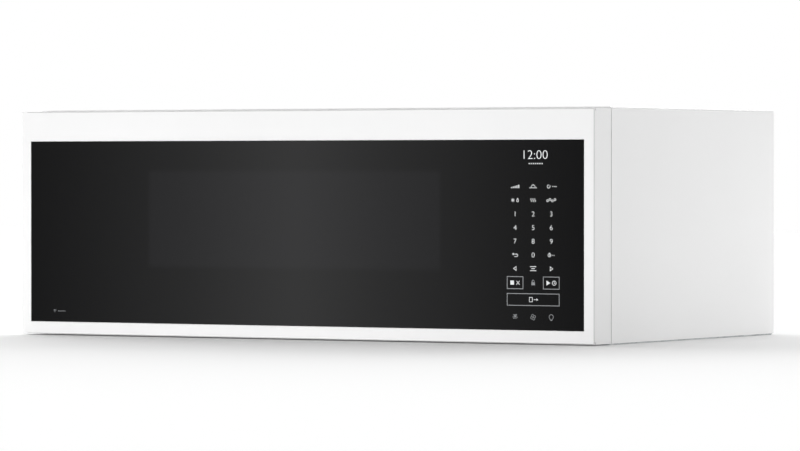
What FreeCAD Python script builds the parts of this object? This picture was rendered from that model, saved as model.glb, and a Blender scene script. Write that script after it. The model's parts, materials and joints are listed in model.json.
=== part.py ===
"""Low-profile over-the-range microwave oven, full-width glass door hinged at the left.

Millimetres. +X to the right, -Y towards the cook, +Z up. The origin is on the surface that
the base pan stands on, midway between the sides and between the door's face and the wall.
One STEP file is written for each separate piece.
"""
import FreeCAD
import Part
import math
import os

Vector = FreeCAD.Vector

# ---------------------------------------------------------------- overall sizes
width = 759.0            # cabinet and door, side to side
height = 262.5           # base pan to cabinet top
depth = 446.0            # door glass to wall
sheet = 1.2              # folded steel of the cabinet
thin_sheet = 0.8         # lighter steel of covers and ducts
bend = 1.6               # inside radius of a fold
seat_gap = 0.3           # between pieces that seat on each other but move apart
running_gap = 0.05       # radial, shaft in bearing
base_drop = 1.5          # base pan below the edges of the wrap and the door

# ---------------------------------------------------------------- door
door_depth = 38.8        # glass face to back of door
door_gap = 1.5           # back of door to front of cabinet
door_head = 2.0          # top of door below the cabinet top
door_wall = 2.0          # side walls of the door frame
door_edge = 1.4          # rounding of the frame's front edges
notch_back = 1.6         # corner slot of the fold, behind the door's face
notch_width = 2.0        # along the side wall
notch_depth = 3.0        # down from the top and up from the bottom
band_side = 12.7         # white band left and right of the glass
band_top = 34.3
band_bottom = 14.3
glass_thickness = 3.2
glass_gap = 0.3          # joint round the glass
ledge_width = 5.0        # what the glass is bonded to
ledge_thickness = 2.2
hinge_inset = 12.0       # hinge axis from the door's left side and from its back
hinge_arm = 3.0          # thickness of the hinge arms
hinge_arm_width = 15.0
hinge_pin = 4.0          # radius
hinge_pin_length = 14.0
hinge_reach = 20.0       # lower arm above the door's foot, upper arm below its head
hinge_lip = 10.5         # door frame's back lip beyond the hinge axis
hinge_foot = 32.0        # height of an arm's foot behind the face
hinge_foot_reach = 30.0  # and its width from the hinge axis

# ---------------------------------------------------------------- front frame
frame_depth = 10.0       # flange round the face of the cabinet
louvre_length = 21.0
louvre_height = 3.4
louvre_pitch = 27.0
louvre_columns = 20
louvre_rows = 2
louvre_row_pitch = 9.0
louvre_drop = 16.0       # upper row below the inside of the top

# ---------------------------------------------------------------- oven cavity
vent_bay = 108.0         # cavity to the cabinet's left side
power_bay = 125.0        # cavity to the cabinet's right side
cavity_floor = 46.0
cavity_head = 41.3       # cavity roof below the inside of the cabinet's top
blower_room = 15.7       # back of the cavity to the blower's outlet
cavity_corner = 9.0      # rounding inside
port_length = 78.0       # microwave port in the right wall
port_height = 34.0
port_rise = 12.0         # middle of the port above the middle of the waveguide
port_inset = 8.0         # end of the port from the end of the waveguide
mica = 0.6               # cover over the port
mica_lap = 8.0           # beyond the port on every side
slot_length = 14.0       # air and light slots in the cavity walls
slot_height = 2.6
slot_pitch_y = 19.0
slot_pitch_z = 7.0
vent_slot_drop = 50.0    # lowest row of the steam slots below the cavity roof
cavity_lamp_setback = 31.5
cavity_lamp_drop = 30.0

# ---------------------------------------------------------------- door inside
choke_offset = 20.0      # middle of choke groove from the cavity opening
choke_width = 14.0
choke_depth = 18.0
choke_cover_thickness = 1.6
choke_cover_gap = 0.2    # each side of the cover in the groove
choke_cover_rib = 6.0    # rib of the cover into the groove
window_width = 387.0
window_height = 110.0
window_rise = 3.5        # middle of the window above the middle of the cavity
window_draft = 7.0       # the pocket widens towards the cavity
screen_depth = 17.0      # perforated screen from the back of the door
screen_sheet = 0.6
screen_lap = 8.0         # screen beyond the window on every side
inner_window_thickness = 1.5
panel_flange = 9.0

# ---------------------------------------------------------------- controls in the door
control_inset = 77.0     # middle of the controls from the door's right side
control_width = 96.0
control_depth = 10.0
control_wall = 1.6
board_thickness = 1.6
board_chip_rise = 60.0   # processor above the foot of the tray
display_width = 52.0
display_height = 31.0
display_thickness = 5.0
display_head = 5.0       # display below the top wall of the tray

# ---------------------------------------------------------------- latch
latch_inset = 76.5       # middle of the latch from the door's right side
latch_bar_width = 12.0
latch_bar_depth = 8.0
latch_bar_below = 16.0   # foot of the bar below the lower hook
latch_bar_above = 22.0   # head of the bar above the foot of the upper hook
latch_lift = 5.0
hook_width = 5.0
hook_height = 11.0
hook_reach = 24.0        # beyond the front of the cabinet
hook_nose = 3.0          # drop of a hook's nose
hook_nose_run = 7.0      # length of the nose
hook_low = 78.0          # underside of the lower hook
latch_slot_side = 4.0    # clearance each side of a hook
latch_slot_end = 3.0     # clearance above and below its travel
latch_plate_left = 18.5  # edge of the latch plate from the middle of the latch
guide_wall = 1.5
guide_height = 8.0
guide_inset = 36.0       # middle of a guide from the end of the bar
spring_radius = 3.6      # latch spring, to the middle of its wire
spring_wire = 0.5        # radius
spring_turns = 6
spring_length = 18.0
latch_board_half = 14.0  # half its width
latch_board_head = 50.3  # its top below the inside of the cabinet's top
latch_board_below = 22.0 # below the lower hook
latch_board_above = 26.0 # above the upper hook
latch_board_behind = 6.0 # beyond the hook tips
slide_thickness = 4.4
slide_depth = 7.4
slide_back = 18.3        # middle of the slide behind the face
slide_below = 12.0       # below the lower hook
slide_above = 10.0       # above the latch board, into the opener
finger_thickness = 2.0
finger_room = 0.6        # each side of a finger in the latch board
switch_width = 9.0
switch_depth = 15.0
switch_height = 24.0
switch_drop = 6.0        # foot of a switch below the hook
switch_pitch = 8.0       # between its terminals
switch_setback = 6.0     # behind the latch plate
button_radius = 1.5
button_reach = 3.2       # button beyond the switch
button_rise = 7.0        # above the foot of the switch
terminal_reach = 6.0
yoke_depth = 30.0        # opener's yoke
yoke_height = 30.0
yoke_left = 13.0
yoke_right = 20.0
coil_radius = 9.5

# ---------------------------------------------------------------- turntable
tray_gap = 13.5          # tray to the back and front of the cavity
tray_thickness = 4.0
tray_rim = 9.0
roller_radius = 8.0
roller_width = 7.0
roller_track = 92.0      # radius at which the rollers run
roller_axle = 1.6
roller_count = 3
support_arm_width = 10.0
support_arm_height = 4.0
hub_width = 6.5          # ring of the roller support
hub_gap = 6.0            # ring round the drive coupler
coupler_radius = 15.0
coupler_collar = 8.0
collar_gap = 1.0         # floor round the coupler's collar
lobe_radius = 4.0
drive_shaft = 3.0
motor_radius = 25.0
motor_height = 13.0

# ---------------------------------------------------------------- base: filters and lamps
pan_flange = 14.0
filter_width = 262.0
filter_depth = 132.0
filter_thickness = 6.0
filter_x = 190.0
filter_setback = 234.7   # middle of a filter behind the cabinet's face
filter_gap = 1.0
filter_border = 10.0
filter_rise = 0.6        # underside of the filter above the pan's underside
ledge_filter = 7.0       # ledge that the filter closes against
mesh_thickness = 2.4
mesh_folds = 15
lamp_x = 226.0
lamp_setback = 58.7      # middle of a lamp behind the cabinet's face
lens_length = 66.0
lens_width = 30.0
lens_lip = 5.0
lens_lip_height = 1.6
lamp_house_height = 17.0
lamp_house_wall = 1.5
lamp_board_gap = 8.0     # lamp board inside the lens on every side
dome_radius = 2.6
dome_pitch = 15.0
dome_sunk = 0.5          # root of a dome in the board

# ---------------------------------------------------------------- exhaust blower
duct_width = 254.0       # 10 in, standard wall duct
duct_depth = 83.0        # 3 1/4 in
volute_radius = 39.0     # first quarter of the scroll
volute_step = 3.6        # growth of the radius at each quarter
volute_wall = 1.2
volute_gap = 0.8         # scroll to the rear cover
outlet_flange = 8.0
blower_z = 116.0
wheel_radius = 33.5
wheel_bore = 26.5        # inner radius of the blades
wheel_length = 84.0
blade_count = 28
blade_thickness = 0.8
blade_curve = 7.5        # radius of a blade's curve
wheel_ring = 1.2
shaft_radius = 3.0
blower_motor_radius = 34.0
blower_motor_length = 42.0
inlet_radius = 28.0

# ---------------------------------------------------------------- component bay
shelf_z = 36.0           # underside of the component shelf
shelf_flange = 20.0
shelf_clearance = 4.0    # shelf behind the front frame's flange
waveguide_depth = 30.0
waveguide_length = 132.0
waveguide_height = 74.0
waveguide_setback = 122.7
waveguide_drop = 50.0    # its middle below the cavity roof
waveguide_rise = 8.0     # its middle above the magnetron's
waveguide_rim = 6.0
antenna_hole = 14.0      # radius
magnetron_setback = 90.7 # bay parts are placed behind the cabinet's face
magnetron_width = 74.0
magnetron_height = 66.0
magnetron_length = 46.0
yoke_sheet = 1.6         # steel of the magnetron's frame
fin_count = 9
fin_thickness = 0.6
anode_radius = 18.0
filter_box = 22.0        # choke box on the end of the magnetron
antenna_radius = 7.5
core_width = 86.0
core_height = 66.0
core_depth = 40.0
core_leg = 16.0
winding_height = 24.0
transformer_setback = 84.7
transformer_inset = 57.5 # from the cabinet's right side
capacitor_width = 52.0
capacitor_depth = 32.0
capacitor_height = 78.0
capacitor_inset = 56.0
capacitor_setback = 176.7
terminal_width = 6.3     # blade terminal, 6.3 x 0.8 mm
terminal_thickness = 0.8
fan_radius = 44.0
fan_setback = 244.7
fan_drop = 4.0           # fan below the magnetron's middle
fan_hub = 13.0
fan_hub_front = 8.0      # hub ahead of and behind the blades' middle
fan_hub_round = 3.0
fan_blades = 5
fan_blade_depth = 16.0
fan_root_chord = 15.0
fan_root_thickness = 1.8
fan_tip_chord = 24.0
fan_tip_thickness = 1.2
fan_shaft_tail = 30.0
fan_tip_gap = 2.5
fan_plate = 112.0
power_board_length = 150.0
power_board_depth = 100.0
power_board_inset = 38.0 # from the cavity's right wall
power_board_setback = 30.0
power_board_rise = 6.0   # above the cavity roof
pillar_radius = 3.0
pillar_inset = 8.0
relay_width = 18.0
relay_pitch = 24.0
relay_inset = 26.0
relay_depth = 16.0
relay_height = 15.0
choke_length = 36.0      # mains choke on the power board
choke_block_depth = 34.0
choke_inset = 24.0
choke_back = 14.0
choke_height = 22.0
can_radius = 5.0         # smoothing cans on the power board
can_pitch = 16.0
can_inset = 24.0
can_back = 28.0
can_height = 17.0
air_duct_forward = 40.0  # steam duct ahead of the turntable's middle
air_duct_drop = 60.0     # its foot below the cavity roof
air_duct_rise = 20.0     # mouth of the duct above the cavity
air_duct_length = 124.0
air_duct_flare = 16.0    # front end sweeps forward towards the louvres
air_duct_foot = 16.0     # thickness at its foot
air_duct_mouth = 34.0    # and at its mouth

# ---------------------------------------------------------------- rear panel pressings
rib_depth = 0.7          # ribs and screw seats stand in from the outer face
rib_width = 9.0
rib_inset = 26.0         # outer rib from the edge of the duct opening
rib_pitch = 42.0
rib_count = 2            # each side of the opening
rib_low = 52.0
rib_head = 22.0          # ribs below the cabinet's top
screw_seat = 4.6         # radius of a seat at the outer face
screw_shank = 1.6
screw_edge = 9.0         # screws from the panel's edges
screw_head_drop = 6.0    # upper screws below the top sheet
screw_count = 4          # along each long edge

# ---------------------------------------------------------------- hanging and cord
bolt_spacing = 660.4     # 26 in between the two top bolts
bolt_setback = 215.0     # bolts ahead of the wall
bolt_hole = 3.4
rail_height = 14.0
rail_crown = 26.0
rail_flange = 13.0
hook_slot_x = 254.0
hook_slot_z = 24.0
hook_slot_length = 44.0
hook_slot_height = 7.0
cord_inset = 49.5        # from the cabinet's right side
cord_setback = 53.0      # ahead of the wall
cord_hole = 4.8
bush_radius = 9.0
bush_flange = 14.0
bush_length = 14.0

# ---------------------------------------------------------------- places worked out from the sizes
x_side = width / 2
x_in = x_side - sheet
y_front = -depth / 2
y_back = depth / 2
y_door = y_front + door_depth
y_face = y_door + door_gap
y_cavity = y_face + sheet
y_panel = y_back - sheet
z_in = height - sheet
z_door_low = base_drop
z_door_high = height - door_head
glass_x = x_side - band_side
glass_low = z_door_low + band_bottom
glass_high = z_door_high - band_top
y_ledge = y_front + glass_thickness
control_low = glass_low + ledge_width + seat_gap
control_high = glass_high - ledge_width - seat_gap
hinge_x = -x_side + hinge_inset
hinge_y = y_door - hinge_inset
arm_low = z_door_low + hinge_reach
arm_high = z_door_high - hinge_reach - hinge_arm
panel_left = hinge_x + hinge_lip + seat_gap
panel_right = x_side - door_wall
volute_last = volute_radius + 2 * volute_step
volute_width = (duct_width - blower_motor_length) / 2
blower_y = y_panel - thin_sheet - volute_gap - volute_last - volute_step / 2
duct_back = blower_y + volute_last + volute_step / 2
duct_front = duct_back - duct_depth
cavity_left = vent_bay - x_side
cavity_right = x_side - power_bay
cavity_x = (cavity_left + cavity_right) / 2
cavity_roof = z_in - cavity_head
cavity_back = duct_front - blower_room
turn_y = (y_cavity + cavity_back) / 2
tray_radius = (cavity_back - y_cavity) / 2 - tray_gap
roller_z = cavity_floor + seat_gap + roller_radius
tray_z = roller_z + roller_radius + seat_gap
hub_inner = coupler_radius + lobe_radius / 2 + hub_gap
hub_outer = hub_inner + hub_width
vent_slot_z = cavity_roof - vent_slot_drop
cavity_lamp_y = y_cavity + cavity_lamp_setback
cavity_lamp_z = cavity_roof - cavity_lamp_drop
air_duct_y = turn_y - air_duct_forward
air_duct_low = cavity_roof - air_duct_drop
window_z = (cavity_floor + cavity_roof) / 2 + window_rise
control_x = x_side - control_inset
display_low = control_high - control_wall - display_head - display_height
filter_y = y_face + filter_setback
lamp_y = y_face + lamp_setback
bay_x = (cavity_right + sheet + x_in) / 2
guide_right = cavity_right + sheet + waveguide_depth
waveguide_y = y_face + waveguide_setback
waveguide_z = cavity_roof - waveguide_drop
port_z = waveguide_z + port_rise
magnetron_y = y_face + magnetron_setback
magnetron_z = waveguide_z - waveguide_rise
transformer_x = x_side - transformer_inset
transformer_y = y_face + transformer_setback
capacitor_x = x_side - capacitor_inset
capacitor_y = y_face + capacitor_setback
fan_y = y_face + fan_setback
fan_z = magnetron_z - fan_drop
rail_low = z_in - rail_height
bolt_y = y_back - bolt_setback
cord_x = x_side - cord_inset
cord_y = y_back - cord_setback
latch_x = x_side - latch_inset
latch_front = y_door - thin_sheet - seat_gap - latch_bar_depth
latch_board_top = z_in - latch_board_head
hook_pitch = latch_board_top - latch_board_above - hook_height - hook_low
latch_bar_low = hook_low - latch_bar_below
latch_bar_high = hook_low + hook_pitch + latch_bar_above
plate_left = latch_x - latch_plate_left


# ================================================================ drawing helpers
def span_box(x, y, z):
    """A box between pairs of X, Y and Z values."""
    return Part.makeBox(x[1] - x[0], y[1] - y[0], z[1] - z[0], Vector(x[0], y[0], z[0]))


def about(middle, size):
    """The two ends of a size centred on a middle."""
    return (middle - size / 2, middle + size / 2)


def rod(start, axis, radius, length):
    return Part.makeCylinder(radius, length, start, axis)


def corner(before, here, after, radius):
    """Both tangent points and the middle of the arc that rounds a corner."""
    back = (before - here).normalize()
    on = (after - here).normalize()
    half = back.getAngle(on) / 2
    inward = (back + on).normalize()
    centre = here + inward * (radius / math.sin(half))
    reach = radius / math.tan(half)
    return here + back * reach, centre - inward * radius, here + on * reach


def rounded_wire(points, radii):
    """A closed wire through points, each corner rounded by its own radius."""
    stations = []
    count = len(points)
    for index, here in enumerate(points):
        if radii[index] > 0:
            stations.append(corner(points[index - 1], here, points[(index + 1) % count], radii[index]))
        else:
            stations.append((here, None, here))
    edges = []
    for index, (enter, middle, leave) in enumerate(stations):
        if middle is not None:
            edges.append(Part.Arc(enter, middle, leave).toShape())
        following = stations[(index + 1) % count][0]
        if leave.distanceToPoint(following) > 1.0e-6:
            edges.append(Part.LineSegment(leave, following).toShape())
    return Part.Wire(edges)


def prism(points, radius, along):
    """A closed outline with all corners rounded alike, pushed along a vector."""
    return Part.Face(rounded_wire(points, [radius] * len(points))).extrude(along)


def folded(points, thickness, inside, along):
    """Sheet folded along an open path; it lies on the side given by along x path direction."""
    up = Vector(along).normalize()
    count = len(points)
    normals = [up.cross(points[i + 1] - points[i]).normalize() for i in range(count - 1)]
    path_radii = []
    far_points = []
    far_radii = []
    for index, here in enumerate(points):
        total = normals[max(index - 1, 0)] + normals[min(index, count - 2)]
        far_points.append(here + total * (2 * thickness / total.dot(total)))
        near = 0.0
        far = 0.0
        if 0 < index < count - 1:
            turn = up.dot((here - points[index - 1]).cross(points[index + 1] - here))
            near = inside + thickness if turn > 0 else inside
            far = inside if turn > 0 else inside + thickness
        path_radii.append(near)
        far_radii.append(far)
    outline = rounded_wire(points + far_points[::-1], path_radii + far_radii[::-1])
    return Part.Face(outline).extrude(along)


def rectangle(x, z, y):
    """Corner points of an upright rectangle at depth y."""
    return [Vector(x[0], y, z[0]), Vector(x[1], y, z[0]), Vector(x[1], y, z[1]), Vector(x[0], y, z[1])]


def level(x, y, z):
    """Corner points of a level rectangle at height z."""
    return [Vector(x[0], y[0], z), Vector(x[1], y[0], z), Vector(x[1], y[1], z), Vector(x[0], y[1], z)]


def turned(profile, origin, axis):
    """A revolved solid from (radius, height) points about an axis through an origin."""
    points = [Vector(radius, 0, rise) for radius, rise in profile]
    solid = Part.Face(rounded_wire(points, [0] * len(points))).revolve(Vector(), Vector(0, 0, 1), 360)
    solid.Placement = FreeCAD.Placement(origin, FreeCAD.Rotation(Vector(0, 0, 1), axis))
    return solid


def shelled(solid, wall, opening):
    """A solid hollowed to a wall and left open at the face that lies furthest along opening."""
    mouth = max(solid.Faces, key=lambda face: face.CenterOfMass.dot(opening))
    return solid.makeThickness([mouth], -wall, 1.0e-3)


def fuse(*shapes):
    return shapes[0].multiFuse(list(shapes[1:])).removeSplitter()


def edges_along(solid, direction):
    """Straight edges parallel to a direction."""
    straight = [edge for edge in solid.Edges if isinstance(edge.Curve, Part.Line)]
    return [edge for edge in straight if abs(edge.Curve.Direction.dot(direction)) > 0.999]


def loft(near, far):
    """A straight-sided solid between two outlines with as many corners."""
    wires = [Part.makePolygon(points + points[:1]) for points in (near, far)]
    return Part.makeLoft(wires, True, True)


def window_gap(x_span, z_span, y_span, radius):
    """A rounded rectangular hole through an upright wall."""
    return prism(rectangle(x_span, z_span, y_span[0]), radius, Vector(0, y_span[1] - y_span[0], 0))


X_AXIS = Vector(1, 0, 0)
Y_AXIS = Vector(0, 1, 0)
Z_AXIS = Vector(0, 0, 1)


# ================================================================ cabinet shell
def outer_wrap():
    """Top panel and two side panels, each side rounded over to meet the top."""
    path = [
        Vector(-x_side, y_face, base_drop),
        Vector(-x_side, y_face, height),
        Vector(x_side, y_face, height),
        Vector(x_side, y_face, base_drop),
    ]
    skin = folded(path, sheet, bend, Vector(0, y_back - y_face, 0))
    above = (z_in - 1, height + 1)
    cuts = [span_box(about(0, duct_width), (duct_front, duct_back), above)]
    for side in (-1, 1):
        start = Vector(side * bolt_spacing / 2, bolt_y, above[0])
        cuts.append(rod(start, Z_AXIS, bolt_hole, above[1] - above[0]))
    cuts.append(rod(Vector(cord_x, cord_y, above[0]), Z_AXIS, bush_radius, above[1] - above[0]))
    skin = skin.cut(cuts)
    seam = x_side - bend - sheet
    panels = []
    for x_span in ((-width, -seam), (-seam, seam), (seam, width)):
        panels += skin.common(span_box(x_span, (y_face - 1, y_back + 1), (0, height + 1))).Solids
    return Part.makeCompound(panels)


def well_height():
    return filter_rise + filter_thickness + seat_gap


def filter_well(side):
    """Raised frame in the base pan that a grease filter closes against."""
    middle = side * filter_x
    inside_x = about(middle, filter_width + 2 * filter_gap)
    inside_y = about(filter_y, filter_depth + 2 * filter_gap)
    outside_x = (inside_x[0] - sheet, inside_x[1] + sheet)
    outside_y = (inside_y[0] - sheet, inside_y[1] + sheet)
    block = span_box(outside_x, outside_y, (0, well_height() + sheet))
    block = block.makeFillet(bend, edges_along(block, Z_AXIS))
    hollow = span_box(inside_x, inside_y, (-1, well_height()))
    throat_x = about(middle, filter_width - 2 * ledge_filter)
    throat_y = about(filter_y, filter_depth - 2 * ledge_filter)
    throat = span_box(throat_x, throat_y, (-1, well_height() + 2 * sheet))
    return block, hollow, throat


def base_pan():
    """Floor of the cabinet, with filter wells and lamp windows."""
    path = [
        Vector(x_in, y_face, pan_flange),
        Vector(x_in, y_face, 0),
        Vector(-x_in, y_face, 0),
        Vector(-x_in, y_face, pan_flange),
    ]
    pan = folded(path, sheet, bend, Vector(0, y_panel - y_face, 0))
    pieces = [span_box((bend - x_in, x_in - bend), (y_panel - sheet, y_panel), (0, pan_flange))]
    cuts = []
    for side in (-1, 1):
        block, hollow, throat = filter_well(side)
        pieces.append(block)
        cuts += [hollow, throat]
        lens = level(about(side * lamp_x, lens_length + seat_gap), about(lamp_y, lens_width + seat_gap), -1)
        cuts.append(prism(lens, 4.0, Vector(0, 0, 2 + sheet)))
    cuts.append(span_box((-width, width), (y_face - 1, y_face + frame_depth), (sheet, pan_flange + 1)))
    return fuse(pan, *pieces).cut(cuts)


def face_pressing(x_span):
    """Part of the pressed face behind the door, with its flange round the cabinet."""
    block = span_box((-x_in, x_in), (y_face, y_face + frame_depth), (sheet, z_in))
    block = block.makeFillet(bend, edges_along(block, Y_AXIS))
    pressing = shelled(block, sheet, Y_AXIS)
    return pressing.common(span_box(x_span, (y_face - 1, y_back), (0, height)))


def latch_plate():
    """Face of the component bay, with the two slots that the hooks enter."""
    return face_pressing((plate_left, width)).cut(hook_slots((y_face - 1, y_cavity + 1)))


def front_frame():
    """Face of the cabinet behind the door, with the cavity mouth, air louvres and hinge slots."""
    frame = face_pressing((-width, plate_left))
    through = (y_face - 1, y_cavity + 1)
    mouth = window_gap((cavity_left, cavity_right), (cavity_floor, cavity_roof), through, cavity_corner)
    cuts = [mouth]
    for row in range(louvre_rows):
        low = z_in - louvre_drop - row * louvre_row_pitch
        for column in range(louvre_columns):
            middle = cavity_x + (column - (louvre_columns - 1) / 2) * louvre_pitch
            z_span = (low, low + louvre_height)
            cuts.append(window_gap(about(middle, louvre_length), z_span, through, louvre_height / 2 - 0.1))
    arm_x = about(hinge_x, hinge_arm_width + 2 * seat_gap)
    for low in (arm_low, arm_high):
        cuts.append(span_box(arm_x, through, (low - seat_gap, low + hinge_arm + seat_gap)))
    return frame.cut(cuts)


def rear_panel():
    """Back of the cabinet; it hangs by two slots on the hooks of a wall plate."""
    panel = prism(rectangle((-x_in, x_in), (base_drop, z_in), y_panel), bend, Vector(0, sheet, 0))
    cuts = []
    through = (y_panel - 1, y_back + 1)
    for side in (-1, 1):
        slot_x = about(side * hook_slot_x, hook_slot_length)
        cuts.append(window_gap(slot_x, about(hook_slot_z, hook_slot_height), through, 3.0))
    cuts.append(span_box(about(0, duct_width), through, duct_knockout()))
    for x, z in rear_screws():
        shank = [(0, -1), (screw_shank, -1), (screw_shank, sheet - rib_depth)]
        seat = shank + [(screw_seat, sheet), (0, sheet)]
        cuts.append(turned(seat, Vector(x, y_panel, z), Y_AXIS))
    for x in rib_middles():
        cuts.append(pressed_rib(about(x, rib_width), (rib_low, z_in - rib_head)))
    return panel.cut(cuts)


def rib_middles():
    """Middles of the upright ribs on both sides of the exhaust opening."""
    first = duct_width / 2 + rib_inset
    return [side * (first + index * rib_pitch) for side in (-1, 1) for index in range(rib_count)]


def pressed_rib(x_span, z_span):
    """Shallow rib with sloping flanks, sunk into the outer face of the rear panel."""
    outer = rectangle(x_span, z_span, y_back + 0.01)
    inner = rectangle((x_span[0] + rib_depth, x_span[1] - rib_depth),
                      (z_span[0] + rib_depth, z_span[1] - rib_depth), y_back - rib_depth)
    return loft(inner, outer)


def rear_screws():
    """Places of the screws that hold the rear panel, near its upper and lower edges and sides."""
    places = []
    reach = x_in - screw_edge
    for index in range(screw_count):
        x = reach * (2 * index / (screw_count - 1) - 1)
        places += [(x, base_drop + screw_edge), (x, z_in - screw_head_drop)]
    return places + [(side * reach, height / 2) for side in (-1, 1)]


def duct_knockout():
    """Heights of the horizontal exhaust opening in the back."""
    top = z_in - 12.0
    return (top - duct_depth, top)


def rear_cover():
    """Plate over the horizontal exhaust opening, seated flush with tabs inside."""
    low, high = duct_knockout()
    x_span = about(0, duct_width - 2 * seat_gap)
    plate = prism(rectangle(x_span, (low + seat_gap, high - seat_gap), y_panel), 0.5, Vector(0, sheet, 0))
    tabs = [plate]
    for side in (-1, 1):
        edge = side * duct_width / 2
        tab_x = (min(edge - side * 14, edge + side * 10), max(edge - side * 14, edge + side * 10))
        tab = rectangle(tab_x, about((low + high) / 2, 30.0), y_panel - thin_sheet)
        tabs.append(prism(tab, 3.0, Vector(0, thin_sheet, 0)))
    return fuse(*tabs)


def liner_outline():
    """Plan of the oven liner: left, right, front and back of its outside."""
    return (cavity_left - sheet, cavity_right + sheet), (y_cavity, cavity_back + sheet)


def oven_floor():
    """Flat enamelled floor that the liner stands on; the rollers run on it."""
    x_span, y_span = liner_outline()
    plate = span_box(x_span, y_span, (cavity_floor - sheet, cavity_floor))
    rear = [edge for edge in edges_along(plate, Z_AXIS) if edge.BoundBox.YMin > cavity_back]
    plate = plate.makeFillet(cavity_corner + sheet, rear)
    start = Vector(cavity_x, turn_y, cavity_floor - 2 * sheet)
    return plate.cut(rod(start, Z_AXIS, coupler_collar + collar_gap, 3 * sheet))


def oven_cavity():
    """Oven liner: roof, back and sides, with its microwave port and air and light slots."""
    x_span, y_span = liner_outline()
    block = span_box(x_span, y_span, (cavity_floor - 3 * cavity_corner, cavity_roof + sheet))
    behind_mouth = [edge for edge in block.Edges if edge.BoundBox.YMax > y_cavity + 1]
    upper = [edge for edge in behind_mouth if edge.BoundBox.ZMax > cavity_floor]
    block = block.makeFillet(cavity_corner + sheet, upper)
    liner = shelled(block, sheet, -Y_AXIS)
    cuts = [
        span_box((-width, width), (-depth, depth), (0, cavity_floor)),
        span_box((cavity_right - 1, cavity_right + 2 * sheet), port_span(), about(port_z, port_height)),
    ]
    for side, columns, rows, first_y, first_z in wall_slots():
        wall = cavity_left - 2 * sheet if side < 0 else cavity_right - 1
        x_span = (wall, wall + 2 * sheet + 1)
        for column in range(columns):
            y_span = about(first_y + column * slot_pitch_y, slot_length)
            for row in range(rows):
                cuts.append(span_box(x_span, y_span, about(first_z + row * slot_pitch_z, slot_height)))
    return liner.cut(cuts)


def port_span():
    """Front and back of the microwave port."""
    port_y = waveguide_y + (waveguide_length - port_length) / 2 - port_inset
    return about(port_y, port_length)


def wall_slots():
    """Side, columns, rows and first place of each group of slots in the cavity walls."""
    return [
        (-1, 6, 5, air_duct_y - 2.5 * slot_pitch_y, vent_slot_z),
        (1, 2, 3, cavity_lamp_y - slot_pitch_y / 2, cavity_lamp_z - slot_pitch_z),
    ]


# ================================================================ hanging, cord
def top_rail():
    """Hat-section rail under the top, with a nut boss at each hanging bolt."""
    y0 = bolt_y - rail_crown / 2
    y1 = bolt_y + rail_crown / 2
    path = [
        Vector(bend - x_in, y1 + rail_flange, z_in),
        Vector(bend - x_in, y1, z_in),
        Vector(bend - x_in, y1, rail_low),
        Vector(bend - x_in, y0, rail_low),
        Vector(bend - x_in, y0, z_in),
        Vector(bend - x_in, y0 - rail_flange, z_in),
    ]
    hat = folded(path, sheet, bend, Vector(2 * (x_in - bend), 0, 0))
    bosses = []
    cuts = []
    for side in (-1, 1):
        start = Vector(side * bolt_spacing / 2, bolt_y, rail_low - 8.0)
        bosses.append(rod(start, Z_AXIS, bolt_hole * 2, 8.0))
        cuts.append(rod(start - Z_AXIS, Z_AXIS, bolt_hole, rail_height + 10.0))
    return fuse(hat, *bosses).cut(cuts)


def cord_bush():
    """Moulded bush that the supply cord passes up through; no cord is fitted."""
    low = z_in - bush_length
    profile = [
        (cord_hole, low),
        (bush_radius - 3.0, low),
        (bush_radius - seat_gap / 2, z_in - 6.0),
        (bush_flange, z_in - 3.0),
        (bush_flange, z_in),
        (bush_radius - seat_gap / 2, z_in),
        (bush_radius - seat_gap / 2, height),
        (cord_hole, height),
    ]
    return turned(profile, Vector(cord_x, cord_y, 0), Z_AXIS)


def hinge_arms():
    """Two steel arms from the cabinet face, each with a pin for the door."""
    arms = []
    for low, pin_up in ((arm_low, True), (arm_high, False)):
        half = hinge_arm_width / 2
        z_span = (low, low + hinge_arm)
        tongue = span_box(about(hinge_x, hinge_arm_width), (hinge_y, y_cavity + hinge_arm), z_span)
        nose = rod(Vector(hinge_x, hinge_y, low), Z_AXIS, half, hinge_arm)
        foot_z = (low, low + hinge_foot) if pin_up else (low + hinge_arm - hinge_foot, low + hinge_arm)
        foot_x = (hinge_x - half + 1, hinge_x + hinge_foot_reach)
        foot = span_box(foot_x, (y_cavity, y_cavity + hinge_arm), foot_z)
        pin_start = low + hinge_arm if pin_up else low - hinge_pin_length
        pin = rod(Vector(hinge_x, hinge_y, pin_start), Z_AXIS, hinge_pin, hinge_pin_length)
        arms.append(fuse(tongue, nose, foot, pin))
    return Part.makeCompound(arms)


# ================================================================ component bay
def component_shelf():
    """Folded shelf between the cavity and the right side; it carries the heavy parts."""
    left = cavity_right + 2 * sheet
    front = y_face + frame_depth + shelf_clearance
    path = [
        Vector(left, front, shelf_z + shelf_flange),
        Vector(left, front, shelf_z),
        Vector(x_in, front, shelf_z),
        Vector(x_in, front, shelf_z - shelf_flange),
    ]
    return folded(path, sheet, bend, Vector(0, cavity_back - front, 0))


def waveguide():
    """Folded box that leads from the magnetron's antenna to the cavity port."""
    left = cavity_right + sheet
    y_span = about(waveguide_y, waveguide_length)
    z_span = about(waveguide_z, waveguide_height)
    block = span_box((left, guide_right), y_span, z_span)
    block = block.makeFillet(bend + sheet, edges_along(block, X_AXIS))
    box = shelled(block, sheet, -X_AXIS)
    rim_y = about(waveguide_y, waveguide_length + 2 * waveguide_rim)
    rim_z = about(waveguide_z, waveguide_height + 2 * waveguide_rim)
    rim = span_box((left, left + sheet), rim_y, rim_z)
    inside_y = about(waveguide_y, waveguide_length - 2 * sheet)
    inside_z = about(waveguide_z, waveguide_height - 2 * sheet)
    rim = rim.cut(span_box((left - 1, left + 2 * sheet), inside_y, inside_z))
    hole = rod(Vector(guide_right - 2 * sheet, magnetron_y, magnetron_z), X_AXIS, antenna_hole, 3 * sheet)
    return fuse(box, rim).cut(hole)


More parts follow.
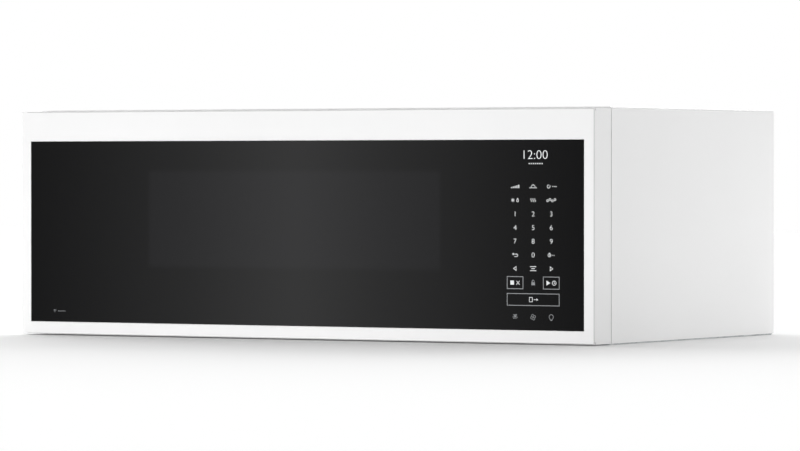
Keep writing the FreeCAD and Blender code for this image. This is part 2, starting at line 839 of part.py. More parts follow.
def waveguide_cover():
    """Mica sheet over the port inside the cavity."""
    y0, y1 = port_span()
    z0, z1 = about(port_z, port_height)
    points = [
        Vector(cavity_right, y0 - mica_lap, z0 - mica_lap),
        Vector(cavity_right, y1 + mica_lap, z0 - mica_lap),
        Vector(cavity_right, y1 + mica_lap, z1 + mica_lap),
        Vector(cavity_right, y0 - mica_lap, z1 + mica_lap),
    ]
    return prism(points, 5.0, Vector(-mica, 0, 0))


def magnetron_frame():
    """Steel yoke round the magnetron, with its choke box."""
    x0 = guide_right
    yoke = span_box((x0, x0 + magnetron_length), about(magnetron_y, magnetron_width),
                    about(magnetron_z, magnetron_height))
    hollow = span_box((x0 + yoke_sheet, x0 + magnetron_length - yoke_sheet),
                      about(magnetron_y, magnetron_width + 4),
                      about(magnetron_z, magnetron_height - 2 * yoke_sheet))
    end_x = x0 + magnetron_length
    choke_box = span_box((end_x, end_x + filter_box), about(magnetron_y, magnetron_width - 20),
                         about(magnetron_z, magnetron_height - 20))
    choke_box = choke_box.makeFillet(3.0, edges_along(choke_box, X_AXIS))
    hole = rod(Vector(x0 - 1, magnetron_y, magnetron_z), X_AXIS, antenna_hole, magnetron_length)
    return fuse(yoke.cut(hollow), choke_box).cut(hole)


def magnetron_core():
    """Anode block with cooling fins and the antenna dome."""
    x0 = guide_right + yoke_sheet
    run = magnetron_length - 2 * yoke_sheet
    anode = rod(Vector(x0, magnetron_y, magnetron_z), X_AXIS, anode_radius, run)
    pieces = [anode]
    pitch = run / (fin_count + 1)
    for index in range(fin_count):
        x = x0 + (index + 1) * pitch
        fin = span_box((x, x + fin_thickness), about(magnetron_y, magnetron_width - 4),
                       about(magnetron_z, magnetron_height - 2 * yoke_sheet))
        pieces.append(fin)
    stem = [
        (0, -0.1),
        (antenna_hole - seat_gap, -0.1),
        (antenna_hole - seat_gap, yoke_sheet),
        (antenna_radius, 6.0),
        (antenna_radius, 16.0),
        (antenna_radius - 2.5, 19.0),
        (0, 19.0),
    ]
    pieces.append(turned(stem, Vector(x0, magnetron_y, magnetron_z), -X_AXIS))
    return fuse(*pieces)


def transformer_core():
    """Laminated E-I core: outer frame and middle leg."""
    low = shelf_z
    x_span = about(transformer_x, core_depth)
    block = span_box(x_span, about(transformer_y, core_width), (low, low + core_height))
    cuts = []
    opening = (core_width - 3 * core_leg) / 2
    for side in (-1, 1):
        middle = transformer_y + side * (core_leg / 2 + opening / 2)
        cuts.append(span_box((x_span[0] - 1, x_span[1] + 1), about(middle, opening),
                             (low + core_leg / 1.5, low + core_height - core_leg / 1.5)))
    return block.cut(cuts)


def transformer_windings():
    """Primary and secondary coils, wound one above the other on the middle leg."""
    low = shelf_z + core_leg / 1.5 + seat_gap
    opening = (core_width - 3 * core_leg) / 2
    coils = []
    tall = (core_height - core_leg / 0.75 - 3 * seat_gap) / 2
    for index in range(2):
        z = low + index * (tall + seat_gap)
        grow = opening - 2 * seat_gap
        hole = level(about(transformer_x, core_depth + 2 * seat_gap),
                     about(transformer_y, core_leg + 2 * seat_gap), z)
        outer = level(about(transformer_x, core_depth + 2 * seat_gap + 2 * grow),
                      about(transformer_y, core_leg + 2 * seat_gap + 2 * grow), z)
        height_vector = Vector(0, 0, min(tall, winding_height))
        coil = prism(outer, grow, height_vector).cut(prism(hole, 1.0, height_vector))
        coils.append(coil)
    return Part.makeCompound(coils)


def high_voltage_capacitor():
    """Oval can with two blade terminals, held upright on the shelf."""
    x_span = about(capacitor_x, capacitor_width)
    y_span = about(capacitor_y, capacitor_depth)
    low = shelf_z
    can = prism(level(x_span, y_span, low), capacitor_depth / 2 - 0.5, Vector(0, 0, capacitor_height))
    rim = [edge for edge in can.Edges if edge.BoundBox.ZMin > low + capacitor_height - 0.1]
    can = can.makeFillet(2.0, rim)
    blades = []
    for side in (-1, 1):
        x_blade = about(capacitor_x + side * 2 * terminal_width, terminal_width)
        blades.append(span_box(x_blade, about(capacitor_y, terminal_thickness),
                               (low + capacitor_height - 1, low + capacitor_height + 9)))
    return fuse(can, *blades)


def fan_shroud():
    """Square plate with a bell mouth and a hood that leads the air to the magnetron fins."""
    plate = prism(rectangle(about(bay_x, fan_plate), about(fan_z, fan_plate), fan_y), 6.0, Vector(0, 2, 0))
    bell = [
        (fan_radius + fan_tip_gap, 0),
        (fan_radius + fan_tip_gap + 2, 0),
        (fan_radius + fan_tip_gap + 2, fan_blade_depth + 4),
        (fan_radius + fan_tip_gap + 5, fan_blade_depth + 7),
        (fan_radius + fan_tip_gap + 4, fan_blade_depth + 8),
        (fan_radius + fan_tip_gap, fan_blade_depth + 5),
    ]
    ring = turned(bell, Vector(bay_x, fan_y, fan_z), Y_AXIS)
    hole = rod(Vector(bay_x, fan_y - 1, fan_z), Y_AXIS, fan_radius + fan_tip_gap, 6.0)
    legs = []
    for side in (-1, 1):
        x = bay_x + side * (fan_plate / 2 - 8)
        legs.append(span_box(about(x, 12.0), (fan_y, fan_y + 2), (shelf_z, fan_z)))
    back = fan_y + fan_blade_depth + 8
    spokes = [rod(Vector(bay_x, back, fan_z), Y_AXIS, fan_hub + 5, 2.0)]
    upright = FreeCAD.Rotation(Z_AXIS, Y_AXIS)
    for angle in (45, 135, 225, 315):
        spoke = span_box((0, fan_radius + fan_tip_gap + 3), about(0, 3.0), (-2, 2))
        turn = upright.multiply(FreeCAD.Rotation(Z_AXIS, angle))
        spoke.Placement = FreeCAD.Placement(Vector(bay_x, back, fan_z), turn)
        spokes.append(spoke)
    bore = rod(Vector(bay_x, back - 4, fan_z), Y_AXIS, fan_hub - 2, 8.0)
    return fuse(fuse(plate, *legs).cut(hole), ring, *spokes).cut(bore)


def fan_motor():
    """Shaded-pole motor behind the cooling fan."""
    start = fan_y + fan_blade_depth + 10
    profile = [
        (shaft_radius / 2 + running_gap, 0),
        (fan_hub + 4, 0),
        (fan_hub + 9, 4),
        (fan_hub + 9, 24),
        (fan_hub + 2, 28),
        (shaft_radius / 2 + running_gap, 28),
    ]
    return turned(profile, Vector(bay_x, start, fan_z), Y_AXIS)


def fan_rotor():
    """Cooling fan: hub, shaft and twisted blades lofted from root to tip."""
    middle = fan_y + fan_blade_depth / 2 + 2
    hub = turned([(0, -fan_hub_front), (fan_hub - fan_hub_round, -fan_hub_front),
                  (fan_hub, fan_hub_round - fan_hub_front), (fan_hub, fan_hub_front), (0, fan_hub_front)],
                 Vector(bay_x, middle, fan_z), Y_AXIS)
    shaft = rod(Vector(bay_x, middle, fan_z), Y_AXIS, shaft_radius / 2, fan_blade_depth / 2 + fan_shaft_tail)
    pieces = [hub, shaft]
    root = (fan_hub - fan_root_thickness, fan_root_chord, 44, fan_root_thickness)
    tip = (fan_radius, fan_tip_chord, 28, fan_tip_thickness)
    for index in range(fan_blades):
        sections = []
        for radius, chord, pitch, thickness in (root, tip):
            half = chord / 2
            slope = math.radians(pitch)
            forward = Vector(math.cos(slope), math.sin(slope), 0)
            across = Vector(-math.sin(slope), math.cos(slope), 0)
            corners = []
            for along, off in ((-half, -1), (half, -1), (half, 1), (-half, 1)):
                flat = forward * along + across * (off * thickness / 2)
                corners.append(Vector(flat.x, flat.y, radius))
            sections.append(Part.makePolygon(corners + [corners[0]]))
        blade = Part.makeLoft(sections, True, True)
        blade.Placement = FreeCAD.Placement(
            Vector(bay_x, middle, fan_z), FreeCAD.Rotation(Y_AXIS, index * 360 / fan_blades))
        pieces.append(blade)
    return fuse(*pieces)


def power_board():
    """Supply and relay board on the cavity roof, with its larger components."""
    seat = cavity_roof + sheet
    z = seat + power_board_rise
    x1 = cavity_right - power_board_inset
    x0 = x1 - power_board_length
    y0 = y_cavity + power_board_setback
    y1 = y0 + power_board_depth
    top = z + board_thickness
    pieces = [prism(level((x0, x1), (y0, y1), z), 3.0, Vector(0, 0, board_thickness))]
    for x in (x0 + pillar_inset, x1 - pillar_inset):
        for y in (y0 + pillar_inset, y1 - pillar_inset):
            pieces.append(rod(Vector(x, y, seat), Z_AXIS, pillar_radius, power_board_rise))
    for index in range(3):
        relay_x = about(x0 + relay_inset + index * relay_pitch, relay_width)
        pieces.append(span_box(relay_x, (y0 + relay_depth, y0 + 2 * relay_depth), (top, top + relay_height)))
        can = Vector(x0 + can_inset + index * can_pitch, y1 - can_back, top)
        pieces.append(rod(can, Z_AXIS, can_radius, can_height))
    choke_x = (x1 - choke_inset - choke_length, x1 - choke_inset)
    choke_y = (y1 - choke_back - choke_block_depth, y1 - choke_back)
    pieces.append(span_box(choke_x, choke_y, (top, top + choke_height)))
    return fuse(*pieces)


def air_duct():
    """Duct that takes steam from the cavity's left wall up to the louvres."""
    wall = cavity_left - sheet
    foot_y = about(air_duct_y, air_duct_length)
    mouth_y = about(air_duct_y - air_duct_flare, air_duct_length + air_duct_flare)
    foot = level((wall - air_duct_foot, wall), foot_y, air_duct_low)
    mouth = level((wall - air_duct_mouth, wall), mouth_y, cavity_roof + air_duct_rise)
    duct = shelled(loft(foot, mouth), volute_wall, Z_AXIS)
    inlet_y = (foot_y[0] + 2 * volute_wall, foot_y[1] - 2 * volute_wall)
    inlet_z = (air_duct_low + 2 * volute_wall, cavity_roof - cavity_corner)
    return duct.cut(span_box((wall - volute_wall - 1, wall + 1), inlet_y, inlet_z))


def cavity_lamp():
    """Lamp holder behind the slots in the cavity's right wall."""
    wall = cavity_right + sheet
    profile = [(0, 0), (14, 0), (14, 4), (11, 8), (11, 22), (0, 22)]
    return turned(profile, Vector(wall, cavity_lamp_y, cavity_lamp_z), X_AXIS)


# ================================================================ exhaust blower
def volute(side):
    """Outer form of one scroll: four-centre spiral with a flared outlet to the duct opening."""
    centres = []
    half = volute_step / 2
    for offset_y, offset_z in ((-half, -half), (half, -half), (half, half)):
        centres.append((blower_y + offset_y, blower_z + offset_z))
    radii = [volute_radius, volute_radius + volute_step, volute_last]
    x = side * blower_motor_length / 2
    start_angle = 90
    edges = []
    first = None
    last = None
    for (y, z), radius in zip(centres, radii):
        ends = []
        for step in (0, 45, 90):
            angle = math.radians(start_angle + step)
            ends.append(Vector(x, y + radius * math.cos(angle), z + radius * math.sin(angle)))
        edges.append(Part.Arc(*ends).toShape())
        if first is None:
            first = ends[0]
        last = ends[2]
        start_angle += 90
    outlet_back = Vector(x, last.y, z_in)
    outlet_front = Vector(x, duct_front, z_in)
    edges.append(Part.LineSegment(last, outlet_back).toShape())
    edges.append(Part.LineSegment(outlet_back, outlet_front).toShape())
    edges.append(Part.LineSegment(outlet_front, first).toShape())
    return Part.Face(Part.Wire(edges)).extrude(Vector(side * volute_width, 0, 0))


def blower_scroll(side):
    """Sheet scroll with its round air inlets; side is -1 at the left, 1 at the right."""
    scroll = shelled(volute(side), volute_wall, Z_AXIS)
    outer_x = side * (blower_motor_length / 2 + volute_width)
    inlet = rod(Vector(outer_x - 3, blower_y, blower_z), X_AXIS, inlet_radius, 6.0)
    motor_x = side * blower_motor_length / 2
    nose = rod(Vector(motor_x - 3, blower_y, blower_z), X_AXIS, inlet_radius - 8, 6.0)
    mouth = [
        (inlet_radius, 0),
        (inlet_radius + 1.2, 0),
        (inlet_radius + 5, 4),
        (inlet_radius + 5, 5),
        (inlet_radius + 3.5, 5),
        (inlet_radius, 1.2),
    ]
    lip = turned(mouth, Vector(outer_x - side * volute_wall, blower_y, blower_z), X_AXIS * side)
    flange_x = sorted((0, outer_x + side * outlet_flange))
    flange = span_box(flange_x, (duct_front - outlet_flange, duct_back), (z_in - volute_wall, z_in))
    throat_x = sorted((motor_x + side * volute_wall, outer_x - side * volute_wall))
    throat = span_box(throat_x, (duct_front + volute_wall, duct_back - volute_wall), (z_in - 3, z_in + 1))
    return fuse(scroll, lip, flange).cut([inlet.cut(lip), nose, throat])


def blower_motor():
    """Motor between the scrolls, with end bells and a ring foot on each side."""
    half = blower_motor_length / 2
    profile = [
        (shaft_radius + running_gap, -half),
        (inlet_radius - 9, -half),
        (inlet_radius - 9, 4 - half),
        (blower_motor_radius - 4, 4 - half),
        (blower_motor_radius, 9 - half),
        (blower_motor_radius, half - 9),
        (blower_motor_radius - 4, half - 4),
        (inlet_radius - 9, half - 4),
        (inlet_radius - 9, half),
        (shaft_radius + running_gap, half),
    ]
    body = turned(profile, Vector(0, blower_y, blower_z), X_AXIS)
    feet = []
    for side in (-1, 1):
        x = (half - 2.0, half) if side > 0 else (-half, 2.0 - half)
        foot = prism([
            Vector(x[0], blower_y - 27, blower_z - 33),
            Vector(x[0], blower_y + 27, blower_z - 33),
            Vector(x[0], blower_y + 27, blower_z + 33),
            Vector(x[0], blower_y - 27, blower_z + 33)], 8.0, Vector(2.0, 0, 0))
        feet.append(foot)
    bore = rod(Vector(-half - 1, blower_y, blower_z), X_AXIS, shaft_radius + running_gap, 2 * half + 2)
    return fuse(body, *feet).cut(bore)


def wheel_start():
    """Motor side of a wheel, measured out from the middle of the blower."""
    return blower_motor_length / 2 + volute_wall + 5.0


def blower_wheel(side):
    """Squirrel-cage wheel: forward-curved blades between a back plate and an end ring."""
    hub_length = 18.0
    back = turned([(shaft_radius + running_gap, 0), (wheel_radius, 0), (wheel_radius, wheel_ring),
                   (9, wheel_ring), (7.5, hub_length), (shaft_radius + running_gap, hub_length)],
                  Vector(), Z_AXIS)
    ring = turned([(wheel_bore + 2, wheel_length - wheel_ring), (wheel_radius, wheel_length - wheel_ring),
                   (wheel_radius, wheel_length), (wheel_bore + 2, wheel_length)], Vector(), Z_AXIS)
    pieces = [back, ring]
    run = wheel_length - wheel_ring
    for index in range(blade_count):
        blade = blade_section().extrude(Vector(0, 0, run))
        blade.rotate(Vector(), Z_AXIS, index * 360 / blade_count)
        pieces.append(blade)
    wheel = fuse(*pieces)
    wheel.Placement = FreeCAD.Placement(
        Vector(side * wheel_start(), blower_y, blower_z), FreeCAD.Rotation(Z_AXIS, X_AXIS * side))
    return wheel


def blade_section():
    """Curved blade seen along the shaft, from the inner to just inside the outer radius."""
    chord_start = Vector(wheel_bore, 0, wheel_ring / 2)
    chord_end = Vector(wheel_radius - 0.4, 2.6, wheel_ring / 2)
    middle = (chord_start + chord_end) / 2
    along = (chord_end - chord_start)
    half = along.Length / 2
    across = Vector(along.y, -along.x, 0).normalize()
    bow = blade_curve - math.sqrt(blade_curve ** 2 - half ** 2)
    outer = bow + blade_thickness / 2
    inner = bow - blade_thickness / 2
    shift = across * (blade_thickness / 2)
    front = Part.Arc(chord_start + shift, middle + across * outer, chord_end + shift)
    back = Part.Arc(chord_end - shift, middle + across * inner, chord_start - shift)
    sides = [
        front.toShape(),
        Part.LineSegment(chord_end + shift, chord_end - shift).toShape(),
        back.toShape(),
        Part.LineSegment(chord_start - shift, chord_start + shift).toShape(),
    ]
    return Part.Face(Part.Wire(sides))


def blower_shaft():
    """Through shaft that carries both wheels."""
    reach = wheel_start() + wheel_length * 0.35
    return rod(Vector(-reach, blower_y, blower_z), X_AXIS, shaft_radius, 2 * reach)


# ================================================================ base: filters, lamps
def grease_filter(side):
    """Aluminium frame round a pleated mesh pad."""
    x_span = about(side * filter_x, filter_width)
    y_span = about(filter_y, filter_depth)
    low = filter_rise
    rim = prism(level(x_span, y_span, low), 6.0, Vector(0, 0, filter_thickness))
    inner_x = (x_span[0] + filter_border, x_span[1] - filter_border)
    inner_y = (y_span[0] + filter_border, y_span[1] - filter_border)
    rim = rim.cut(span_box(inner_x, inner_y, (low - 1, low + filter_thickness + 1)))
    pitch = (inner_x[1] - inner_x[0] + 4) / mesh_folds
    z_low, z_high = about_mesh()
    rise = (z_high - z_low) / 2
    crest = []
    for index in range(2 * mesh_folds + 1):
        z = z_low if index % 2 == 0 else z_low + rise
        crest.append(Vector(inner_x[0] - 2 + index * pitch / 2, inner_y[0] - 2, z))
    outline = crest + [point + Vector(0, 0, rise) for point in crest[::-1]]
    along = Vector(0, inner_y[1] - inner_y[0] + 4, 0)
    pad = Part.Face(Part.makePolygon(outline + outline[:1])).extrude(along)
    return fuse(rim, pad)


def about_mesh():
    return about(filter_rise + filter_thickness / 2, mesh_thickness)


def lamp_lenses():
    """Frosted lens over each cooktop lamp, dropped into its window from above."""
    lenses = []
    for side in (-1, 1):
        x_span = about(side * lamp_x, lens_length)
        y_span = about(lamp_y, lens_width)
        plug = prism(level(x_span, y_span, 0.2), 3.8, Vector(0, 0, sheet))
        wide_x = (x_span[0] - lens_lip, x_span[1] + lens_lip)
        wide_y = (y_span[0] - lens_lip, y_span[1] + lens_lip)
        lip = prism(level(wide_x, wide_y, sheet), 6.0, Vector(0, 0, lens_lip_height))
        lenses.append(fuse(plug, lip))
    return Part.makeCompound(lenses)


def lamp_housings():
    """Tapered reflector that stands over each lens."""
    houses = []
    for side in (-1, 1):
        z = sheet + lens_lip_height
        wide = level(about(side * lamp_x, lens_length + 2 * lens_lip),
                     about(lamp_y, lens_width + 2 * lens_lip), z)
        narrow = level(about(side * lamp_x, lens_length - 8),
                       about(lamp_y, lens_width - 8), z + lamp_house_height)
        houses.append(shelled(loft(wide, narrow), lamp_house_wall, -Z_AXIS))
    return Part.makeCompound(houses)


def lamp_boards():
    """Lamp board inside each reflector, with three light-emitting domes."""
    boards = []
    for side in (-1, 1):
        roof = sheet + lens_lip_height + lamp_house_height - lamp_house_wall
        under = roof - board_thickness
        slab = span_box(about(side * lamp_x, lens_length - 2 * lamp_board_gap),
                        about(lamp_y, lens_width - 2 * lamp_board_gap), (under, roof))
        domes = []
        for index in (-1, 0, 1):
            centre = Vector(side * lamp_x + index * dome_pitch, lamp_y, under)
            dome_x = about(centre.x, 3 * dome_radius)
            dome_y = about(centre.y, 3 * dome_radius)
            below = span_box(dome_x, dome_y, (under - 2 * dome_radius, under + dome_sunk))
            domes.append(Part.makeSphere(dome_radius, centre).common(below))
        boards.append(fuse(slab, *domes))
    return Part.makeCompound(boards)


# ================================================================ turntable
def turntable_motor():
    """Flat geared motor under the oven floor, with two fixing ears."""
    top = cavity_floor - sheet
    bore = drive_shaft + running_gap
    profile = [
        (bore, top - motor_height),
        (motor_radius, top - motor_height),
        (motor_radius, top),
        (coupler_collar - 1, top),
        (coupler_collar - 1, top + 1.0),
        (bore, top + 1.0),
    ]
    can = turned(profile, Vector(cavity_x, turn_y, 0), Z_AXIS)
    ears = []
    for side in (-1, 1):
        reach = motor_radius + 9
        x0, x1 = sorted((cavity_x, cavity_x + side * reach))
        ear = prism(level((x0, x1), about(turn_y, 13.0), top - 1.2), 3.0, Vector(0, 0, 1.2))
        hole = rod(Vector(cavity_x + side * (reach - 4.5), turn_y, top - 2), Z_AXIS, 2.1, 4)
        ears.append(ear.cut(hole))
    well = rod(Vector(cavity_x, turn_y, top - motor_height - 1), Z_AXIS, bore, motor_height + 3)
    return fuse(can, *ears).cut(well)


def motor_shaft():
    """Output shaft of the turntable motor, flatted where the coupler grips it."""
    low = cavity_floor - sheet - motor_height + 2
    high = tray_z - 2.0
    shaft = rod(Vector(cavity_x, turn_y, low), Z_AXIS, drive_shaft, high - low)
    flat = span_box((cavity_x + drive_shaft - 0.9, cavity_x + drive_shaft + 1),
                    about(turn_y, 2 * drive_shaft + 2), (cavity_floor + 2, high + 1))
    return shaft.cut(flat)


def drive_coupler():
    """Three-lobed driver that turns the tray."""
    low = cavity_floor + 1.0
    top = tray_z - seat_gap
    bore = drive_shaft + running_gap
    collar = turned([(0, low), (coupler_collar, low), (coupler_collar, top - 6), (coupler_radius, top - 4),
                     (coupler_radius, top), (0, top)], Vector(cavity_x, turn_y, 0), Z_AXIS)
    lobes = [collar]
    for index in range(3):
        angle = math.radians(90 + index * 120)
        place = Vector(cavity_x + coupler_radius * math.cos(angle) * 0.9,
                       turn_y + coupler_radius * math.sin(angle) * 0.9, top - 4)
        lobes.append(rod(place, Z_AXIS, lobe_radius, 4 + seat_gap + tray_thickness / 2 - 0.5))
    socket = rod(Vector(cavity_x, turn_y, low - 1), Z_AXIS, bore, tray_z - 2 - low + 1 + seat_gap)
    return fuse(*lobes).cut(socket)


def turntable_tray():
    """Pressed glass tray: flat dish, raised rim, sockets underneath for the driver."""
    low = tray_z
    step = tray_thickness
    profile = [
        (0, low),
        (tray_radius - 22, low),
        (tray_radius - 2.0, low + tray_rim),
        (tray_radius, low + tray_rim + 1.5),
        (tray_radius - 1.5, low + tray_rim + step),
        (tray_radius - 24, low + step),
        (0, low + step),
    ]
    dish = turned(profile, Vector(cavity_x, turn_y, 0), Z_AXIS)
    sockets = []
    for index in range(3):
        angle = math.radians(90 + index * 120)
        place = Vector(cavity_x + coupler_radius * math.cos(angle) * 0.9,
                       turn_y + coupler_radius * math.sin(angle) * 0.9, low - 1)
        sockets.append(rod(place, Z_AXIS, lobe_radius + seat_gap, 1 + tray_thickness / 2))
    return dish.cut(sockets)


def roller_support():
    """Three-armed support round the driver, with an axle for a roller at each tip."""
    low = roller_z - support_arm_height / 2
    hub = turned([(hub_inner, low), (hub_outer, low), (hub_outer, low + support_arm_height),
                  (hub_inner, low + support_arm_height)], Vector(cavity_x, turn_y, 0), Z_AXIS)
    pieces = [hub]
    tip = roller_track - roller_width / 2 - seat_gap
    end = roller_track + roller_width / 2 + seat_gap
    for index in range(roller_count):
        plan = [
            Vector(hub_inner + 2, -support_arm_width / 2, low),
            Vector(tip, -support_arm_width / 3, low),
            Vector(tip, support_arm_width / 3, low),
            Vector(hub_inner + 2, support_arm_width / 2, low),
        ]
        arm = prism(plan, 0, Vector(0, 0, support_arm_height))
        axle = rod(Vector(tip - 2, 0, roller_z), X_AXIS, roller_axle, end - tip + 3)
        cap = rod(Vector(end, 0, roller_z), X_AXIS, roller_axle + 1.2, 2.0)
        for piece in (arm, axle, cap):
            piece.rotate(Vector(), Z_AXIS, roller_angle(index))
            piece.translate(Vector(cavity_x, turn_y, 0))
            pieces.append(piece)
    return fuse(*pieces)


def roller_angle(index):
    """Direction of a roller's arm, in degrees from +X."""
    return 30 + index * 360 / roller_count


def roller(index):
    """Wheel that carries the tray, crowned and running on its own axle."""
    half = roller_width / 2
    bore = roller_axle + running_gap
    profile = [
        (bore, -half),
        (roller_radius - 1.2, -half),
        (roller_radius, 1.2 - half),
        (roller_radius, half - 1.2),
        (roller_radius - 1.2, half),
        (bore, half),
    ]
    angle = math.radians(roller_angle(index))
    outward = Vector(math.cos(angle), math.sin(angle), 0)
    centre = Vector(cavity_x, turn_y, roller_z) + outward * roller_track
    return turned(profile, centre, outward)


# ================================================================ door
def door_plan(inset):
    """Plan outline of the door, its back left corner rounded about the hinge axis."""
    x0 = -x_side + inset
    x1 = x_side - inset
    y0 = y_front + inset
    y1 = y_door - inset
    points = [Vector(x0, y0, 0), Vector(x1, y0, 0), Vector(x1, y1, 0), Vector(x0, y1, 0)]
    return points, hinge_inset - inset


def door_block(inset, low, high):
    points, back_radius = door_plan(inset)
    wire = rounded_wire([point + Vector(0, 0, low) for point in points], [0, 0, 0, back_radius])
    return Part.Face(wire).extrude(Vector(0, 0, high - low))


def door_frame():
    """White frame: front bands with a rebate for the glass, four walls, rounded hinge edge."""
    outer = door_block(0.0, z_door_low, z_door_high)
    front_edges = [edge for edge in outer.Edges if edge.BoundBox.YMax < y_front + 0.1]
    outer = outer.makeFillet(door_edge, front_edges)
    inner = door_block(door_wall, z_door_low + door_wall, z_door_high - door_wall)
    band = span_box((-width, width), (y_front - 1, y_ledge + ledge_thickness), (0, height))
    hollow = inner.cut(band)
    back_opening = span_box((hinge_x + hinge_lip, x_side - door_wall),
                            (y_ledge + ledge_thickness, y_door + 1),
                            (z_door_low + door_wall, z_door_high - door_wall))
    rebate = span_box((-glass_x, glass_x), (y_front - 1, y_ledge), (glass_low, glass_high))
    sight = span_box((ledge_width - glass_x, glass_x - ledge_width), (y_front - 1, y_door),
                     (glass_low + ledge_width, glass_high - ledge_width))
    cuts = [hollow, back_opening, rebate, sight.common(band)]
    for low in (arm_low, arm_high):
        cuts.append(hinge_sweep(low))
    return outer.cut(cuts + fold_notches())


def fold_notches():
    """Slots at both ends of the right-hand fold, where the side wall meets top and bottom."""
    y_span = (y_front + notch_back, y_front + notch_back + notch_width)
    x_span = (x_side - door_wall, x_side + 1)
    lower = span_box(x_span, y_span, (z_door_low - 1, z_door_low + notch_depth))
    upper = span_box(x_span, y_span, (z_door_high - notch_depth, z_door_high + 1))
    return [lower, upper]


def hinge_sweep(low):
    """Space that a hinge arm needs in the door from shut to fully open."""
    z_span = (low - 2 * seat_gap, low + hinge_arm + 2 * seat_gap)
    half = hinge_arm_width / 2 + 1.0
    disc = rod(Vector(hinge_x, hinge_y, z_span[0]), Z_AXIS, hinge_inset + 1.0, z_span[1] - z_span[0])
    quarter = span_box((hinge_x - 2 * hinge_inset, hinge_x), (hinge_y, hinge_y + 2 * hinge_inset), z_span)
    rest = span_box((hinge_x - half, hinge_x + half), (hinge_y, y_door + 1), z_span)
    open_side = span_box((-x_side - 1, hinge_x), (hinge_y - half - 2.0, hinge_y + half), z_span)
    return fuse(disc.common(quarter), rest, open_side)


def door_glass():
    """Single black glass panel, flush with the frame."""
    x_span = (glass_gap - glass_x, glass_x - glass_gap)
    z_span = (glass_low + glass_gap, glass_high - glass_gap)
    pane = prism(rectangle(x_span, z_span, y_front), 1.0, Vector(0, glass_thickness, 0))
    rim = [edge for edge in pane.Edges if edge.BoundBox.YMax < y_front + 0.05]
    return pane.makeChamfer(0.35, rim)


def choke_ring(width_across, y_span):
    """Rectangular ring centred on the choke groove."""
    x_mid = (cavity_left - choke_offset, cavity_right + choke_offset)
    z_mid = (cavity_floor - choke_offset, cavity_roof + choke_offset)
    half = width_across / 2
    outer = span_box((x_mid[0] - half, x_mid[1] + half), y_span, (z_mid[0] - half, z_mid[1] + half))
    inner = span_box((x_mid[0] + half, x_mid[1] - half), (y_span[0] - 1, y_span[1] + 1),
                     (z_mid[0] + half, z_mid[1] - half))
    return outer.cut(inner)


def window_loft(grow, y_near, y_far):
    """Tapered pocket round the window, wider at its far end."""
    wide = (window_draft + grow) * 2
    near_x = about(cavity_x, window_width + 2 * grow)
    near_z = about(window_z, window_height + 2 * grow)
    far_x = about(cavity_x, window_width + wide)
    far_z = about(window_z, window_height + wide)
    return loft(rectangle(near_x, near_z, y_near), rectangle(far_x, far_z, y_far))


def door_inner_panel():
    """Pressed steel back of the door: window pocket, choke channel, latch guides."""
    x_span = (panel_left, panel_right)
    z_span = (z_door_low + door_wall, z_door_high - door_wall)
    y_near = y_door - screen_depth
    block = span_box(x_span, (y_door - panel_flange, y_door), z_span)
    block = block.makeFillet(bend, edges_along(block, Y_AXIS))
    panel = shelled(block, thin_sheet, -Y_AXIS)
    groove = choke_ring(choke_width + 2 * thin_sheet, (y_door - choke_depth - thin_sheet, y_door))
    pocket = window_loft(thin_sheet, y_near, y_door)
    body = fuse(panel, groove, pocket)
    cuts = [
        choke_ring(choke_width, (y_door - choke_depth, y_door + 1)),
        window_loft(0.0, y_near - 0.01, y_door + 0.01),
    ]
    body = body.cut(cuts + hook_slots((y_door - 2, y_door + 1)))
    return fuse(body, *latch_guides())


def hook_slots(y_span):
    """Slots that the two hooks pass through, with room for their lift."""
    slots = []
    for index in range(2):
        slots.append(span_box(about(latch_x, hook_width + 2 * latch_slot_side), y_span, hook_room(index)))
    return slots


def hook_room(index):
    """Heights that a hook needs from its lowest to its highest place."""
    low = hook_low + index * hook_pitch
    return (low - hook_nose - latch_slot_end, low + hook_height + latch_lift + latch_slot_end)


def latch_guides():
    """Clips on the inner panel that the latch bar slides in, and the spring's seat."""
    guides = []
    y0 = latch_front - seat_gap - guide_wall
    y1 = y_door - thin_sheet
    inside = latch_bar_width + 2 * seat_gap
    for z in (latch_bar_low + guide_inset, latch_bar_high - guide_inset):
        outer = span_box(about(latch_x, inside + 2 * guide_wall), (y0, y1), about(z, guide_height))
        inner = span_box(about(latch_x, inside), (y0 + guide_wall, y1 + 1), about(z, guide_height + 2))
        guides.append(outer.cut(inner))
    seat_z = latch_bar_high + seat_gap + spring_length
    guides.append(span_box(about(latch_x, inside), (latch_front - 1, y1), (seat_z, seat_z + guide_wall)))
    return guides


def window_screen():
    """Perforated steel screen at the bottom of the window pocket."""
    y = y_door - screen_depth - screen_sheet
    x_span = about(cavity_x, window_width + 2 * screen_lap)
    z_span = about(window_z, window_height + 2 * screen_lap)
    return prism(rectangle(x_span, z_span, y), 3.0, Vector(0, screen_sheet, 0))


def inner_window():
    """Clear sheet that closes the pocket towards the cavity."""
    grow = window_draft * (1 - inner_window_thickness / screen_depth) - seat_gap
    y = y_door - inner_window_thickness
    x_span = about(cavity_x, window_width + 2 * grow)
    z_span = about(window_z, window_height + 2 * grow)
    return prism(rectangle(x_span, z_span, y), 2.0, Vector(0, inner_window_thickness, 0))


def choke_cover():
    """Plastic cover snapped into the mouth of the choke groove."""
    back = y_door - choke_cover_thickness
    ring = choke_ring(choke_width - 2 * choke_cover_gap, (back, y_door))
    rib = choke_ring(3.0, (back - choke_cover_rib, back))
    return fuse(ring, rib)


def control_carrier():
    """Tray that holds the touch board and display against the back of the glass."""
    block = span_box(about(control_x, control_width), (y_ledge, y_ledge + control_depth),
                     (control_low, control_high))
    block = block.makeFillet(3.0, edges_along(block, Y_AXIS))
    return shelled(block, control_wall, -Y_AXIS)


